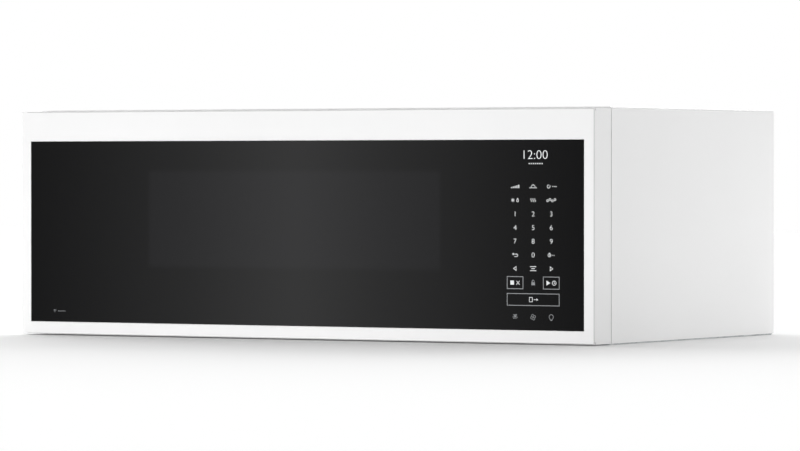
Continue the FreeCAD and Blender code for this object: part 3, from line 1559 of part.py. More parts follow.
def board_span():
    """Width and height of the touch board inside its tray."""
    inner = control_width - 2 * control_wall - 2 * seat_gap
    return about(control_x, inner), (control_low + control_wall + seat_gap, display_low - seat_gap)


def touch_board():
    """Touch board behind the key area, with its processor and ribbon socket."""
    x_span, z_span = board_span()
    board = prism(rectangle(x_span, z_span, y_ledge), 2.0, Vector(0, board_thickness, 0))
    y = y_ledge + board_thickness
    chip = span_box(about(control_x, 14), (y, y + 2), about(control_low + board_chip_rise, 14))
    socket = span_box(about(control_x, 30), (y, y + 5), (z_span[1] - 12, z_span[1] - 5))
    posts = []
    for x in (x_span[0] + 5, x_span[1] - 5):
        for z in (z_span[0] + 5, z_span[1] - 5):
            posts.append(rod(Vector(x, y, z), Y_AXIS, 2.2, control_depth - control_wall - board_thickness))
    return fuse(board, chip, socket, *posts)


def display_module():
    """Display behind the clock window of the glass."""
    low = display_low
    x_span = about(control_x, display_width)
    body = span_box(x_span, (y_ledge, y_ledge + display_thickness), (low, low + display_height))
    body = body.makeFillet(1.0, edges_along(body, Y_AXIS))
    spacer = span_box(about(control_x, display_width - 12),
                      (y_ledge + display_thickness, y_ledge + control_depth - control_wall),
                      (low + 6, low + display_height - 6))
    return fuse(body, spacer)


def hinge_bushes():
    """Bush blocks in the door that turn on the hinge pins, tied to the frame's walls."""
    blocks = []
    for low, pin_up in ((arm_low, True), (arm_high, False)):
        face = low + hinge_arm + seat_gap if pin_up else low - seat_gap
        length = hinge_pin_length + 2.0
        z_span = (face, face + length) if pin_up else (face - length, face)
        back = rod(Vector(hinge_x, hinge_y, z_span[0]), Z_AXIS, hinge_inset - door_wall, length)
        x_span = (-x_side + door_wall, hinge_x + hinge_inset - door_wall)
        front = span_box(x_span, (y_ledge + ledge_thickness, hinge_y), z_span)
        block = fuse(back, front)
        bore_low = face - 1 if pin_up else face - hinge_pin_length - seat_gap
        bore = rod(Vector(hinge_x, hinge_y, bore_low), Z_AXIS, hinge_pin + running_gap,
                   hinge_pin_length + seat_gap + 1)
        blocks.append(block.cut(bore))
    return Part.makeCompound(blocks)


def latch_bar():
    """Sliding bar in the door with the two hooks that reach into the cabinet."""
    y_span = (latch_front, latch_front + latch_bar_depth)
    bar = span_box(about(latch_x, latch_bar_width), y_span, (latch_bar_low, latch_bar_high))
    bar = bar.makeFillet(1.0, edges_along(bar, Z_AXIS))
    pieces = [bar]
    tip = y_face + hook_reach
    for index in range(2):
        low = hook_low + index * hook_pitch
        root = y_span[0] + 2
        x = latch_x - hook_width / 2
        side = [
            Vector(x, root, low),
            Vector(x, tip - hook_nose_run, low),
            Vector(x, tip - hook_nose_run + 1, low - hook_nose),
            Vector(x, tip - hook_nose, low - hook_nose),
            Vector(x, tip, low + hook_nose),
            Vector(x, tip - 4, low + hook_height),
            Vector(x, root, low + hook_height),
        ]
        pieces.append(prism(side, 0, Vector(hook_width, 0, 0)))
    return fuse(*pieces)


def latch_spring():
    """Coil spring between the latch bar and its seat."""
    low = latch_bar_high + spring_wire + 0.1
    rise = spring_length + seat_gap - 2 * spring_wire - 0.2
    helix = Part.makeHelix(rise / spring_turns, rise, spring_radius)
    start = Part.Wire(Part.makeCircle(spring_wire, Vector(spring_radius, 0, 0), Vector(0, 1, 0)))
    wire = Part.Wire(helix).makePipeShell([start], True, True)
    wire.translate(Vector(latch_x, latch_front + latch_bar_depth / 2, low))
    return wire


# ================================================================ latch side of the cabinet
def slide_middle():
    """Plan position of the release slide, beside the hooks."""
    x = latch_x - hook_width / 2 - latch_slot_side - slide_thickness / 2 - 1.0
    return x, y_cavity + slide_back


def latch_board():
    """Moulded board behind the face that guides the hooks and carries the switches."""
    low = hook_low - latch_board_below
    y0 = y_cavity
    depth_in = hook_reach + latch_board_behind
    points = [
        Vector(latch_x - latch_board_half, y0, low),
        Vector(latch_x - latch_board_half, y0 + depth_in, low),
        Vector(latch_x - latch_board_half, y0 + depth_in, latch_board_top),
        Vector(latch_x - latch_board_half, y0, latch_board_top),
    ]
    block = prism(points, 3.0, Vector(2 * latch_board_half, 0, 0))
    slide_x, slide_y = slide_middle()
    room = 2 * seat_gap
    across = about(slide_y, slide_depth + room)
    cuts = [span_box(about(slide_x, slide_thickness + room), across, (low - 1, latch_board_top + 1))]
    hook_x = about(latch_x, hook_width + 2 * latch_slot_side)
    button_x = (latch_x, latch_x + latch_board_half + 1)
    for index in range(2):
        room_z = hook_room(index)
        base = hook_low + index * hook_pitch
        cuts.append(span_box(hook_x, (y0 - 1, y0 + depth_in - 3), room_z))
        cuts.append(span_box(button_x, (y0 + 6, y0 + depth_in - 4), (room_z[0] + 1, base + hook_height)))
        finger_low = finger_top(index) - finger_thickness - finger_room
        cuts.append(span_box((slide_x, latch_x), across, (finger_low, base + latch_lift)))
    return block.cut(cuts)


def interlock_switches():
    """Three snap switches beside the hook tips; the two at the hooks have buttons."""
    switches = []
    x0 = latch_x + latch_board_half + seat_gap / 3
    y_span = (y_cavity + switch_setback, y_cavity + switch_setback + switch_depth)
    middle = sum(y_span) / 2
    for share, button in ((0, True), (0.5, False), (1, True)):
        base = hook_low + share * hook_pitch - switch_drop
        body = span_box((x0, x0 + switch_width), y_span, (base, base + switch_height))
        body = body.makeFillet(0.8, edges_along(body, X_AXIS))
        pieces = [body]
        for step in (-1, 0, 1):
            z = base + switch_height / 2 + step * switch_pitch
            blade_x = (x0 + switch_width - terminal_thickness, x0 + switch_width + terminal_reach)
            blade_y = about(middle, terminal_width)
            pieces.append(span_box(blade_x, blade_y, about(z, terminal_thickness)))
        if button:
            start = Vector(x0 - button_reach, middle, base + button_rise)
            pieces.append(rod(start, X_AXIS, button_radius, button_reach + thin_sheet))
        switches.append(fuse(*pieces))
    return Part.makeCompound(switches)


def release_slide():
    """Upright slide that lifts both hooks when the opener pulls it."""
    x, y = slide_middle()
    y_span = about(y, slide_depth)
    bar_z = (hook_low - slide_below, latch_board_top + slide_above)
    bar = span_box(about(x, slide_thickness), y_span, bar_z)
    fingers = []
    for index in range(2):
        top = finger_top(index)
        finger_x = (x, latch_x + hook_width / 2 - 1)
        fingers.append(span_box(finger_x, (y_span[0] + 1, y_span[1] - 1), (top - finger_thickness, top)))
    return fuse(bar, *fingers)


def finger_top(index):
    """Top of a slide's finger, just under the nose of its hook."""
    return hook_low + index * hook_pitch - hook_nose - seat_gap


def release_actuator():
    """Small solenoid above the latch board; its yoke is open where the slide enters."""
    x, y = slide_middle()
    low = latch_board_top + latch_lift
    y_span = (y_cavity, y_cavity + yoke_depth)
    x_span = (x - yoke_left, x + yoke_right)
    yoke = folded([
        Vector(x_span[1], y_span[0], low),
        Vector(x_span[0], y_span[0], low),
        Vector(x_span[0], y_span[0], low + yoke_height),
        Vector(x_span[1], y_span[0], low + yoke_height),
    ], yoke_sheet, 1.0, Vector(0, yoke_depth, 0))
    plunger_room = math.hypot(slide_thickness, slide_depth) / 2 + seat_gap
    top = yoke_height - 2 * yoke_sheet + 1
    coil_profile = [(plunger_room, 0), (coil_radius, 0), (coil_radius, top), (plunger_room, top)]
    coil = turned(coil_profile, Vector(x, y, low + 1), Z_AXIS)
    hole = rod(Vector(x, y, low - 2), Z_AXIS, plunger_room, 12)
    return fuse(yoke, coil).cut(hole)


# ================================================================ all pieces
def pieces():
    """Each piece of the oven by name."""
    made = {
        "outer_wrap": outer_wrap(),
        "base_pan": base_pan(),
        "front_frame": front_frame(),
        "latch_plate": latch_plate(),
        "rear_panel": rear_panel(),
        "rear_cover": rear_cover(),
        "oven_cavity": oven_cavity(),
        "oven_floor": oven_floor(),
        "top_rail": top_rail(),
        "cord_bush": cord_bush(),
        "hinge_arms": hinge_arms(),
        "component_shelf": component_shelf(),
        "waveguide": waveguide(),
        "waveguide_cover": waveguide_cover(),
        "magnetron_frame": magnetron_frame(),
        "magnetron_core": magnetron_core(),
        "transformer_core": transformer_core(),
        "transformer_windings": transformer_windings(),
        "high_voltage_capacitor": high_voltage_capacitor(),
        "fan_shroud": fan_shroud(),
        "fan_motor": fan_motor(),
        "fan_rotor": fan_rotor(),
        "power_board": power_board(),
        "air_duct": air_duct(),
        "cavity_lamp": cavity_lamp(),
        "blower_scroll_left": blower_scroll(-1),
        "blower_scroll_right": blower_scroll(1),
        "blower_motor": blower_motor(),
        "blower_wheel_left": blower_wheel(-1),
        "blower_wheel_right": blower_wheel(1),
        "blower_shaft": blower_shaft(),
        "grease_filter_left": grease_filter(-1),
        "grease_filter_right": grease_filter(1),
        "lamp_lenses": lamp_lenses(),
        "lamp_housings": lamp_housings(),
        "lamp_boards": lamp_boards(),
        "turntable_motor": turntable_motor(),
        "motor_shaft": motor_shaft(),
        "drive_coupler": drive_coupler(),
        "turntable_tray": turntable_tray(),
        "roller_support": roller_support(),
        "door_frame": door_frame(),
        "door_glass": door_glass(),
        "door_inner_panel": door_inner_panel(),
        "window_screen": window_screen(),
        "inner_window": inner_window(),
        "choke_cover": choke_cover(),
        "control_carrier": control_carrier(),
        "touch_board": touch_board(),
        "display_module": display_module(),
        "hinge_bushes": hinge_bushes(),
        "latch_bar": latch_bar(),
        "latch_spring": latch_spring(),
        "latch_board": latch_board(),
        "interlock_switches": interlock_switches(),
        "release_slide": release_slide(),
        "release_actuator": release_actuator(),
    }
    for index in range(roller_count):
        made["roller_%d" % (index + 1)] = roller(index)
    return made


os.makedirs("parts", exist_ok=True)
for name, shape in pieces().items():
    shape.exportStep("parts/%s.step" % name)
    print("%-24s %d solid, valid %s, %.0f mm3" % (name, len(shape.Solids), shape.isValid(), shape.Volume))
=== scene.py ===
import json
import math

import bmesh
import bpy
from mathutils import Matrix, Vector

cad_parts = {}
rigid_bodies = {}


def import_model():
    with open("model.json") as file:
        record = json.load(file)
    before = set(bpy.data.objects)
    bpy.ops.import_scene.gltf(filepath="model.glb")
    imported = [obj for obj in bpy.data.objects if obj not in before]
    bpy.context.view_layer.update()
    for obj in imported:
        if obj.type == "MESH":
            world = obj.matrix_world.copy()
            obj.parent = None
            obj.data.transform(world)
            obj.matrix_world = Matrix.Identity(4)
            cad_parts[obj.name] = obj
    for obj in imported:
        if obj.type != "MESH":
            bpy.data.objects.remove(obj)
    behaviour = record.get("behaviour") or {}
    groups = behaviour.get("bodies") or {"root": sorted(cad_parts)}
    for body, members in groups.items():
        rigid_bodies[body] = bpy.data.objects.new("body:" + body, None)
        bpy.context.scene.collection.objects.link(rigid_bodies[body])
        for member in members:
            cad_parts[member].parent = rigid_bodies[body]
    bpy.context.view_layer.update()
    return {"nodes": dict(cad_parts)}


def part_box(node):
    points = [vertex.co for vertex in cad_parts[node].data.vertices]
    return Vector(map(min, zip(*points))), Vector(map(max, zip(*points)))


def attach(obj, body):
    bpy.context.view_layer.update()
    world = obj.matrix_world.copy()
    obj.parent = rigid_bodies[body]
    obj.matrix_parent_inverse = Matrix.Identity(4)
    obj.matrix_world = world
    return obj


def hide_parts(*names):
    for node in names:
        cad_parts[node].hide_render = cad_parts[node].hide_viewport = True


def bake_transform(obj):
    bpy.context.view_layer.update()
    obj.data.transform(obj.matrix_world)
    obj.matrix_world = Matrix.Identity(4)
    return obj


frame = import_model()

bl_info = {
    "name": "Low-profile over-the-range microwave oven",
    "version": (1, 0, 0),
    "blender": (4, 5, 0),
    "location": "3D View > Sidebar > Oven",
    "description": "Finishes and fine detail of a low-profile over-the-range microwave oven",
    "category": "Object",
}

MM = 0.001
# settings that several nodes share
SMOOTH_STEP = {"interpolation_type": "SMOOTHSTEP"}
MIX_COLOURS = {"data_type": "RGBA"}
NODES = frame["nodes"]
GLASS_LOW, GLASS_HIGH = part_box("door_glass")


# ------------------------------------------------------------------ colours and shader nodes
def linear(text):
    """Linear red, green, blue and alpha from an sRGB hex value such as 'F4F4F2'."""
    shades = [int(text[place:place + 2], 16) / 255 for place in (0, 2, 4)]
    return tuple(s / 12.92 if s <= 0.04045 else ((s + 0.055) / 1.055) ** 2.4 for s in shades) + (1.0,)


def add(tree, kind, settings=None, inputs=None):
    """A new shader node, with its settings, a ramp's stops, and values or sockets for its inputs."""
    made = tree.nodes.new(kind)
    for name, value in (settings or {}).items():
        if name != "stops":
            setattr(made, name, value)
            continue
        elements = made.color_ramp.elements
        while len(elements) < len(value):
            elements.new(0.5)
        for element, (place, colour) in zip(elements, value):
            element.position = place
            element.color = colour
    for name, value in (inputs or {}).items():
        if isinstance(value, bpy.types.NodeSocket):
            tree.links.new(value, made.inputs[name])
        else:
            made.inputs[name].default_value = value
    return made


def finish_named(name, sockets):
    """A material with one Principled shader, and the tree to draw its pattern in."""
    material = bpy.data.materials.new(name)
    material.use_nodes = True
    tree = material.node_tree
    shader = tree.nodes["Principled BSDF"]
    for socket, value in sockets.items():
        shader.inputs[socket].default_value = value
    return material, tree, shader


def wire(tree, shader, sources):
    """Links each source to the shader's input of that name."""
    for name, source in sources.items():
        tree.links.new(source, shader.inputs[name])


def levels(*pairs):
    """Stops of a ramp of light levels, each level given at its place."""
    return {"stops": [(place, (level, level, level, 1.0)) for place, level in pairs]}


# ------------------------------------------------------------------ materials
def powder_coated_steel(look):
    """Cold-rolled steel, electrostatic polyester powder baked on: satin white with orange peel, and painted
    shade on the folds.
    """
    material, tree, shader = finish_named("powder_coated_steel_white", {
        "Roughness": look.coat_roughness, "IOR": 1.5, "Coat Weight": 0.12, "Coat Roughness": 0.3})
    surface = add(tree, "ShaderNodeTexCoord")
    place = surface.outputs["Object"]
    cloud = add(tree, "ShaderNodeTexNoise", inputs={"Vector": place, "Scale": 4.0, "Detail": 2.0})
    white = add(tree, "ShaderNodeValToRGB", {"stops": [
        (0.3, linear(look.coat_shade)), (0.7, linear(look.coat_white))]}, {
        "Fac": cloud.outputs["Fac"]}).outputs["Color"]
    # painted shade: a tight fold is coloured a little greyer than the flat sheet, standing in for the darker
    # light that a rounded fold catches
    facing = add(tree, "ShaderNodeSeparateXYZ", inputs={"Vector": add(
        tree, "ShaderNodeVectorMath", {"operation": "ABSOLUTE"}, {0: surface.outputs["Normal"]}).outputs[0]})
    flat = facing.outputs["X"]
    for axis in "YZ":
        flat = add(tree, "ShaderNodeMath", {"operation": "MAXIMUM"}, {
            0: flat, 1: facing.outputs[axis]}).outputs[0]
    painted_fold_shade = add(tree, "ShaderNodeMapRange", inputs={
        "Value": flat, "From Min": 0.98, "From Max": 0.9}).outputs["Result"]
    # the painted fold shade goes on the folds of the door and along the top, but not on the wide rounding at
    # the hinge side
    spot = add(tree, "ShaderNodeSeparateXYZ", inputs={"Vector": place})
    tight, door, top = (
        add(tree, "ShaderNodeMath", {"operation": test}, {0: spot.outputs[axis], 1: edge})
        for axis, test, edge in (("X", "GREATER_THAN", look.hinge_edge), ("Y", "LESS_THAN", look.door_back),
                                 ("Z", "GREATER_THAN", look.top_edge)))
    either = add(tree, "ShaderNodeMath", {"operation": "MAXIMUM"}, {0: door.outputs[0], 1: top.outputs[0]})
    for share in (tight, either):
        painted_fold_shade = add(tree, "ShaderNodeMath", {"operation": "MULTIPLY"}, {
            0: painted_fold_shade, 1: share.outputs[0]}).outputs[0]
    # mixes the grey of the painted fold shade into the white
    tone = add(tree, "ShaderNodeMix", MIX_COLOURS, {0: painted_fold_shade, 6: white, 7: linear(look.fold_shade_colour)})
    tree.links.new(tone.outputs[2], shader.inputs["Base Color"])
    # orange peel: about 1.3 mm from crest to crest, drawn at 2 mm so that it shows in a close view
    peel = add(tree, "ShaderNodeTexNoise", inputs={
        "Vector": place, "Scale": 1 / look.orange_peel, "Detail": 1.0, "Roughness": 0.4})
    bump = add(tree, "ShaderNodeBump", inputs={
        "Height": peel.outputs["Fac"], "Strength": 0.06, "Distance": 0.00025})
    tree.links.new(bump.outputs["Normal"], shader.inputs["Normal"])
    return material


def cells(name, sockets, width, shades, colour_from, gloss_from, gloss):
    """A finish of cells of a real width, each with a shade and a gloss of its own."""
    material, tree, shader = finish_named(name, sockets)
    place = add(tree, "ShaderNodeTexCoord").outputs["Object"]
    cell = add(tree, "ShaderNodeTexVoronoi", inputs={"Vector": place, "Scale": 1 / width})
    shade = add(tree, "ShaderNodeSeparateColor", inputs={"Color": cell.outputs["Color"]})
    tone = add(tree, "ShaderNodeValToRGB", {"stops": shades}, {"Fac": shade.outputs[colour_from]})
    rough = add(tree, "ShaderNodeMapRange", inputs={
        "Value": shade.outputs[gloss_from], "To Min": gloss[0], "To Max": gloss[1]})
    wire(tree, shader, {"Base Color": tone.outputs["Color"], "Roughness": rough.outputs["Result"]})
    return material


def zinc_coated_steel(look):
    """Hot-dip galvanised sheet: crystals about 9 mm across that catch the light one by one."""
    shades = [(0.0, linear("A4A9AC")), (0.5, linear("B6BABC")), (1.0, linear("C6CACB"))]
    return cells(
        "zinc_coated_steel", {"Metallic": 0.95}, look.zinc_crystal, shades, "Red", "Green", (0.3, 0.5))


def pressed_mica():
    """Mica paper bonded with silicone: overlapping flakes about 5 mm across, silvery brown."""
    shades = [(0.0, linear("8C8271")), (1.0, linear("B8AE99"))]
    return cells(
        "pressed_mica_sheet", {"Metallic": 0.25, "IOR": 1.58}, 5 * MM, shades, "Blue", "Red", (0.3, 0.6))


def patterned(name, sockets, kind, settings, scales, shades, relief):
    """A finish coloured by one pattern laid in real metres, and its bump: texture, strength and depth.

    Without a texture of its own the bump follows the pattern.
    """
    material, tree, shader = finish_named(name, sockets)
    place = add(tree, "ShaderNodeTexCoord").outputs["Object"]
    pattern = add(tree, kind, settings, {"Vector": place, **scales}).outputs["Fac"]
    tone = add(tree, "ShaderNodeValToRGB", {
        "stops": [(place_on_ramp, linear(shade)) for place_on_ramp, shade in shades]}, {"Fac": pattern})
    texture, strength, depth = relief
    if texture:
        pattern = add(tree, "ShaderNodeTexNoise", inputs={"Vector": place, **texture}).outputs["Fac"]
    bump = add(tree, "ShaderNodeBump", inputs={"Height": pattern, "Strength": strength, "Distance": depth})
    wire(tree, shader, {"Base Color": tone.outputs["Color"], "Normal": bump.outputs["Normal"]})
    return material


def baked_enamel(name, ground, fleck, roughness):
    """Baked enamel on steel: a smooth glassy coat with fine flecks of a second shade, 0.7 mm."""
    return patterned(
        name, {"Roughness": roughness, "IOR": 1.52, "Coat Weight": 0.3, "Coat Roughness": 0.12},
        "ShaderNodeTexNoise", {}, {"Scale": 1400.0, "Detail": 1.0},
        [(0.36, fleck), (0.44, ground), (1.0, ground)], ({"Scale": 260.0, "Detail": 1.0}, 0.05, 0.0004))


def tempered_door_glass(look, window):
    """Tempered glass printed black on its back: deep gloss, with the window painted one shade lighter as
    light from the screen behind.
    """
    material, tree, shader = finish_named("tempered_glass_printed_black", {
        "Roughness": 0.035, "IOR": 1.5, "Specular IOR Level": 0.5})
    place = add(tree, "ShaderNodeTexCoord").outputs["Object"]
    axes = add(tree, "ShaderNodeSeparateXYZ", inputs={"Vector": place})
    # painted light: the window is drawn one shade lighter, standing in for the lit screen seen through the
    # glass; these masks mark it out
    masks = []
    for axis, low, high in (("X", window[0], window[1]), ("Z", window[2], window[3])):
        for edge, sign in ((low, 1), (high, -1)):
            ramp = add(tree, "ShaderNodeMapRange", SMOOTH_STEP, {
                "Value": axes.outputs[axis], "From Min": edge - sign * 0.0035,
                "From Max": edge + sign * 0.0035})
            masks.append(ramp.outputs["Result"])
    painted_window_light_and_dots = masks[0]
    for mask in masks[1:]:
        painted_window_light_and_dots = add(tree, "ShaderNodeMath", {"operation": "MULTIPLY"}, {0: painted_window_light_and_dots, 1: mask}).outputs[0]
    # the printed dots in front of the screen, 1.6 mm apart, drawn as a faint mottle
    dots = add(tree, "ShaderNodeTexVoronoi", inputs={
        "Vector": place, "Scale": 1 / look.window_dot, "Randomness": 0.0})
    speck = add(tree, "ShaderNodeMapRange", inputs={
        "Value": dots.outputs["Distance"], "From Min": 0.25, "From Max": 0.45, "To Min": 0.6, "To Max": 1.0})
    painted_window_light_and_dots = add(tree, "ShaderNodeMath", {"operation": "MULTIPLY"}, {
        0: painted_window_light_and_dots, 1: speck.outputs["Result"]}).outputs[0]
    # black print outside the window, and the painted lighter shade inside it
    tone = add(tree, "ShaderNodeMix", MIX_COLOURS, {
        "Factor": painted_window_light_and_dots, "A": linear("070708"), "B": linear("121214")})
    tree.links.new(tone.outputs["Result"], shader.inputs["Base Color"])
    return material


def clear_glass(name, tint, roughness):
    """Soda-lime glass, pressed or drawn: clear with a slight green in the thick parts."""
    return patterned(
        name, {"Roughness": roughness, "IOR": 1.51, "Transmission Weight": 0.92},
        "ShaderNodeTexNoise", {}, {"Scale": 55.0, "Detail": 2.0},
        [(0.0, tint), (1.0, "F2F6F5")], (None, 0.05, 0.0006))


def moulded_plastic(name, colour, paler, roughness, grain):
    """Injection-moulded plastic: spark-eroded grain from the mould and slight flow marks."""
    return patterned(
        name, {"Roughness": roughness, "IOR": 1.53}, "ShaderNodeTexNoise", {}, {"Scale": 30.0, "Detail": 3.0},
        [(0.3, colour), (0.7, paler)], ({"Scale": 1 / grain, "Detail": 2.0}, 0.12, 0.0002))


def rolled_metal(name, dark, pale, roughness, stretch):
    """Rolled or drawn metal: fine lines along the way it was worked, stretched by axis."""
    material, tree, shader = finish_named(name, {"Metallic": 1.0})
    place = add(tree, "ShaderNodeTexCoord").outputs["Object"]
    drawn = add(tree, "ShaderNodeMapping", inputs={"Vector": place, "Scale": stretch})
    lines = add(tree, "ShaderNodeTexNoise", inputs={
        "Vector": drawn.outputs["Vector"], "Scale": 1.0, "Detail": 3.0})
    tone = add(tree, "ShaderNodeValToRGB", {"stops": [
        (0.25, linear(dark)), (0.75, linear(pale))]}, {"Fac": lines.outputs["Fac"]}).outputs["Color"]
    gloss = add(tree, "ShaderNodeMapRange", inputs={
        "Value": lines.outputs["Fac"], "To Min": roughness - 0.08, "To Max": roughness + 0.08})
    wire(tree, shader, {"Base Color": tone, "Roughness": gloss.outputs["Result"]})
    return material


def stacked_laminations():
    """Silicon-steel sheets 0.5 mm thick, stacked across X and varnished: fine dark lines."""
    # drawn at 1.6 mm a pair, so that the sheets show from a step away
    return patterned(
        "varnished_silicon_steel_stack",
        {"Metallic": 0.6, "Roughness": 0.42, "Coat Weight": 0.4, "Coat Roughness": 0.2},
        "ShaderNodeTexWave", {"bands_direction": "X"}, {"Scale": 100.0, "Distortion": 0.3},
        [(0.1, "1B1B1E"), (0.5, "3A3B40"), (1.0, "4A4B50")], (None, 0.3, 0.0003))


def wound_copper():
    """Enamelled copper wire wound in level layers, 1.1 mm wire: even ridges, warm gloss."""
    return patterned(
        "enamelled_copper_wire",
        {"Metallic": 0.85, "Roughness": 0.28, "Coat Weight": 0.5, "Coat Roughness": 0.15},
        "ShaderNodeTexWave", {"bands_direction": "Z"}, {"Scale": 145.0, "Distortion": 0.4},
        [(0.0, "4A1E0C"), (0.5, "9A4A22"), (1.0, "B9602F")], (None, 0.6, 0.0005))


def frosted_lens():
    """Polycarbonate with a moulded frost and prism lines 3 mm apart: milky and soft."""
    return patterned(
        "frosted_polycarbonate", {"Roughness": 0.45, "IOR": 1.585, "Transmission Weight": 0.35},
        "ShaderNodeTexWave", {"bands_direction": "X", "wave_profile": "SAW"}, {"Scale": 53.0},
        [(0.0, "DDE2E2"), (1.0, "F4F6F5")], (None, 0.5, 0.0006))


def circuit_laminate():
    """Glass-epoxy board under green solder mask, with tinned pads 2.5 mm apart."""
    material, tree, shader = finish_named("solder_masked_laminate", {"Roughness": 0.3, "IOR": 1.55})
    place = add(tree, "ShaderNodeTexCoord").outputs["Object"]
    pads = add(tree, "ShaderNodeTexVoronoi", inputs={"Vector": place, "Scale": 400.0, "Randomness": 0.35})
    dot = add(tree, "ShaderNodeMath", {"operation": "LESS_THAN"}, {0: pads.outputs["Distance"], 1: 0.2})
    tracks = add(tree, "ShaderNodeTexBrick", inputs={
        "Vector": place, "Scale": 70.0, "Color1": linear("0F4A26"), "Color2": linear("0C3D20"),
        "Mortar": linear("1C6A3A"), "Mortar Size": 0.04})
    tone = add(tree, "ShaderNodeMix", MIX_COLOURS, {
        "Factor": dot.outputs[0], "A": tracks.outputs["Color"], "B": linear("B9B7A8")})
    wire(tree, shader, {"Base Color": tone.outputs["Result"], "Metallic": dot.outputs[0]})
    return material


def screen_ink(name, colour, glow):
    """Ceramic ink, screen-printed: slightly uneven, matt; its glow is painted light on the printed keys and
    signs, and the display's own light on the clock.
    """
    material, tree, shader = finish_named(name, {
        "Roughness": 0.6, "Emission Color": linear(colour), "Emission Strength": glow})
    place = add(tree, "ShaderNodeTexCoord").outputs["Object"]
    mesh = add(tree, "ShaderNodeTexNoise", inputs={"Vector": place, "Scale": 2500.0, "Detail": 1.0})
    darker = tuple(0.8 * shade for shade in linear(colour)[:3]) + (1.0,)
    tone = add(tree, "ShaderNodeValToRGB", {"stops": [
        (0.35, darker), (0.55, linear(colour))]}, {"Fac": mesh.outputs["Fac"]}).outputs["Color"]
    tree.links.new(tone, shader.inputs["Base Color"])
    return material


# ------------------------------------------------------------------ making pieces
def dress(material, *names):
    """Gives carried-over CAD nodes a finish through their material slots."""
    for name in names:
        for slot in NODES[name].material_slots:
            slot.material = material


def piece_from(drawing, name, body, material):
    """Turns a drawn mesh into a named piece that rides on a body, if one is given."""
    bmesh.ops.recalc_face_normals(drawing, faces=drawing.faces)
    mesh = bpy.data.meshes.new(name)
    drawing.to_mesh(mesh)
    drawing.free()
    mesh.materials.append(material)
    piece = bpy.data.objects.new(name, mesh)
    bpy.context.scene.collection.objects.link(piece)
    if body:
        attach(piece, body)
    return piece


def skin(drawing, lower, upper):
    """Faces between two closed rings of corners."""
    for index, first in enumerate(lower):
        following = (index + 1) % len(lower)
        drawing.faces.new((first, lower[following], upper[following], upper[index]))


def on_glass(x, z):
    """A point of the printed layer on the face of the door glass, from millimetres."""
    return Vector((x * MM, GLASS_LOW.y, z * MM))


def thicken(drawing, amount):
    """Gives a flat drawing a thickness along a vector."""
    made = bmesh.ops.extrude_face_region(drawing, geom=drawing.faces[:])
    moved = [part for part in made["geom"] if isinstance(part, bmesh.types.BMVert)]
    bmesh.ops.translate(drawing, verts=moved, vec=amount)


def arc(centre, radius, start, end, count=12):
    """Points along an arc, angles in degrees from +X towards +Z."""
    turn = [math.radians(start + (end - start) * step / count) for step in range(count + 1)]
    return [(centre[0] + radius * math.cos(angle), centre[1] + radius * math.sin(angle)) for angle in turn]


def stroke(drawing, points, width, closed=False):
    """A line of even width with mitred corners; points are millimetres across and up."""
    path = [Vector(point) for point in points]
    count = len(path)
    left, right = [], []
    for index, here in enumerate(path):
        before = path[index - 1] if closed or index > 0 else None
        after = path[(index + 1) % count] if closed or index < count - 1 else None
        ways = [way.normalized() for way in (here - before if before else None,
                                             after - here if after else None) if way is not None]
        along = sum(ways, Vector((0, 0))).normalized()
        across = Vector((-along.y, along.x))
        reach = width / 2 / max(abs(across.dot(Vector((-ways[0].y, ways[0].x)))), 0.35)
        left.append(drawing.verts.new(on_glass(*(here + across * reach))))
        right.append(drawing.verts.new(on_glass(*(here - across * reach))))
    for index in range(count if closed else count - 1):
        following = (index + 1) % count
        drawing.faces.new((left[index], left[following], right[following], right[index]))


def patch(drawing, points):
    """A filled shape; points are millimetres across and up."""
    drawing.faces.new([drawing.verts.new(on_glass(*point)) for point in points])


def shifted(points, centre, size=1.0):
    """Points moved to a centre and scaled."""
    return [(centre[0] + size * x, centre[1] + size * z) for x, z in points]


def figures(drawing, text, centre, tall, wide, thin):
    """Plain figures from the built-in font, centred on a point, widened and with thinned strokes."""
    letters = bpy.data.curves.new("figures", "FONT")
    letters.body = text
    letters.align_x = "CENTER"
    letters.align_y = "CENTER"
    letters.size = 1.0
    letters.offset = -thin
    holder = bpy.data.objects.new("figures", letters)
    bpy.context.scene.collection.objects.link(holder)
    bpy.context.view_layer.update()
    flat = bpy.data.meshes.new_from_object(holder.evaluated_get(bpy.context.evaluated_depsgraph_get()))
    low = min(vertex.co.y for vertex in flat.vertices)
    high = max(vertex.co.y for vertex in flat.vertices)
    left = min(vertex.co.x for vertex in flat.vertices)
    right = max(vertex.co.x for vertex in flat.vertices)
    scale = tall / (high - low)
    for vertex in flat.vertices:
        x = centre[0] + (vertex.co.x - (left + right) / 2) * scale * wide
        z = centre[1] + (vertex.co.y - (low + high) / 2) * scale
        vertex.co = on_glass(x, z)
    drawing.from_mesh(flat)
    bpy.data.objects.remove(holder)
    bpy.data.curves.remove(letters)
    bpy.data.meshes.remove(flat)


def lattice(drawing, across, up, pitch, hole, place):
    """A sheet of staggered six-sided cells, each with a hole of that shape, between two spans."""
    columns = int((across[1] - across[0]) / pitch)
    rise = pitch * math.sqrt(3) / 2
    rows = int((up[1] - up[0]) / rise) // 2 * 2
    start = (across[0] + across[1] - columns * pitch) / 2
    base = (up[0] + up[1] - rows * rise) / 2
    outer = pitch / math.sqrt(3)
    for row in range(rows):
        offset = pitch / 4 if row % 2 else -pitch / 4
        for column in range(columns):
            x = start + (column + 0.5) * pitch + offset
            z = base + (row + 0.5) * rise
            rim, cut = [], []
            for step in range(6):
                angle = math.radians(30 + 60 * step)
                for ring, radius in ((rim, outer), (cut, hole)):
                    corner = place(x + radius * math.cos(angle), z + radius * math.sin(angle))
                    ring.append(drawing.verts.new(corner))
            skin(drawing, rim, cut)


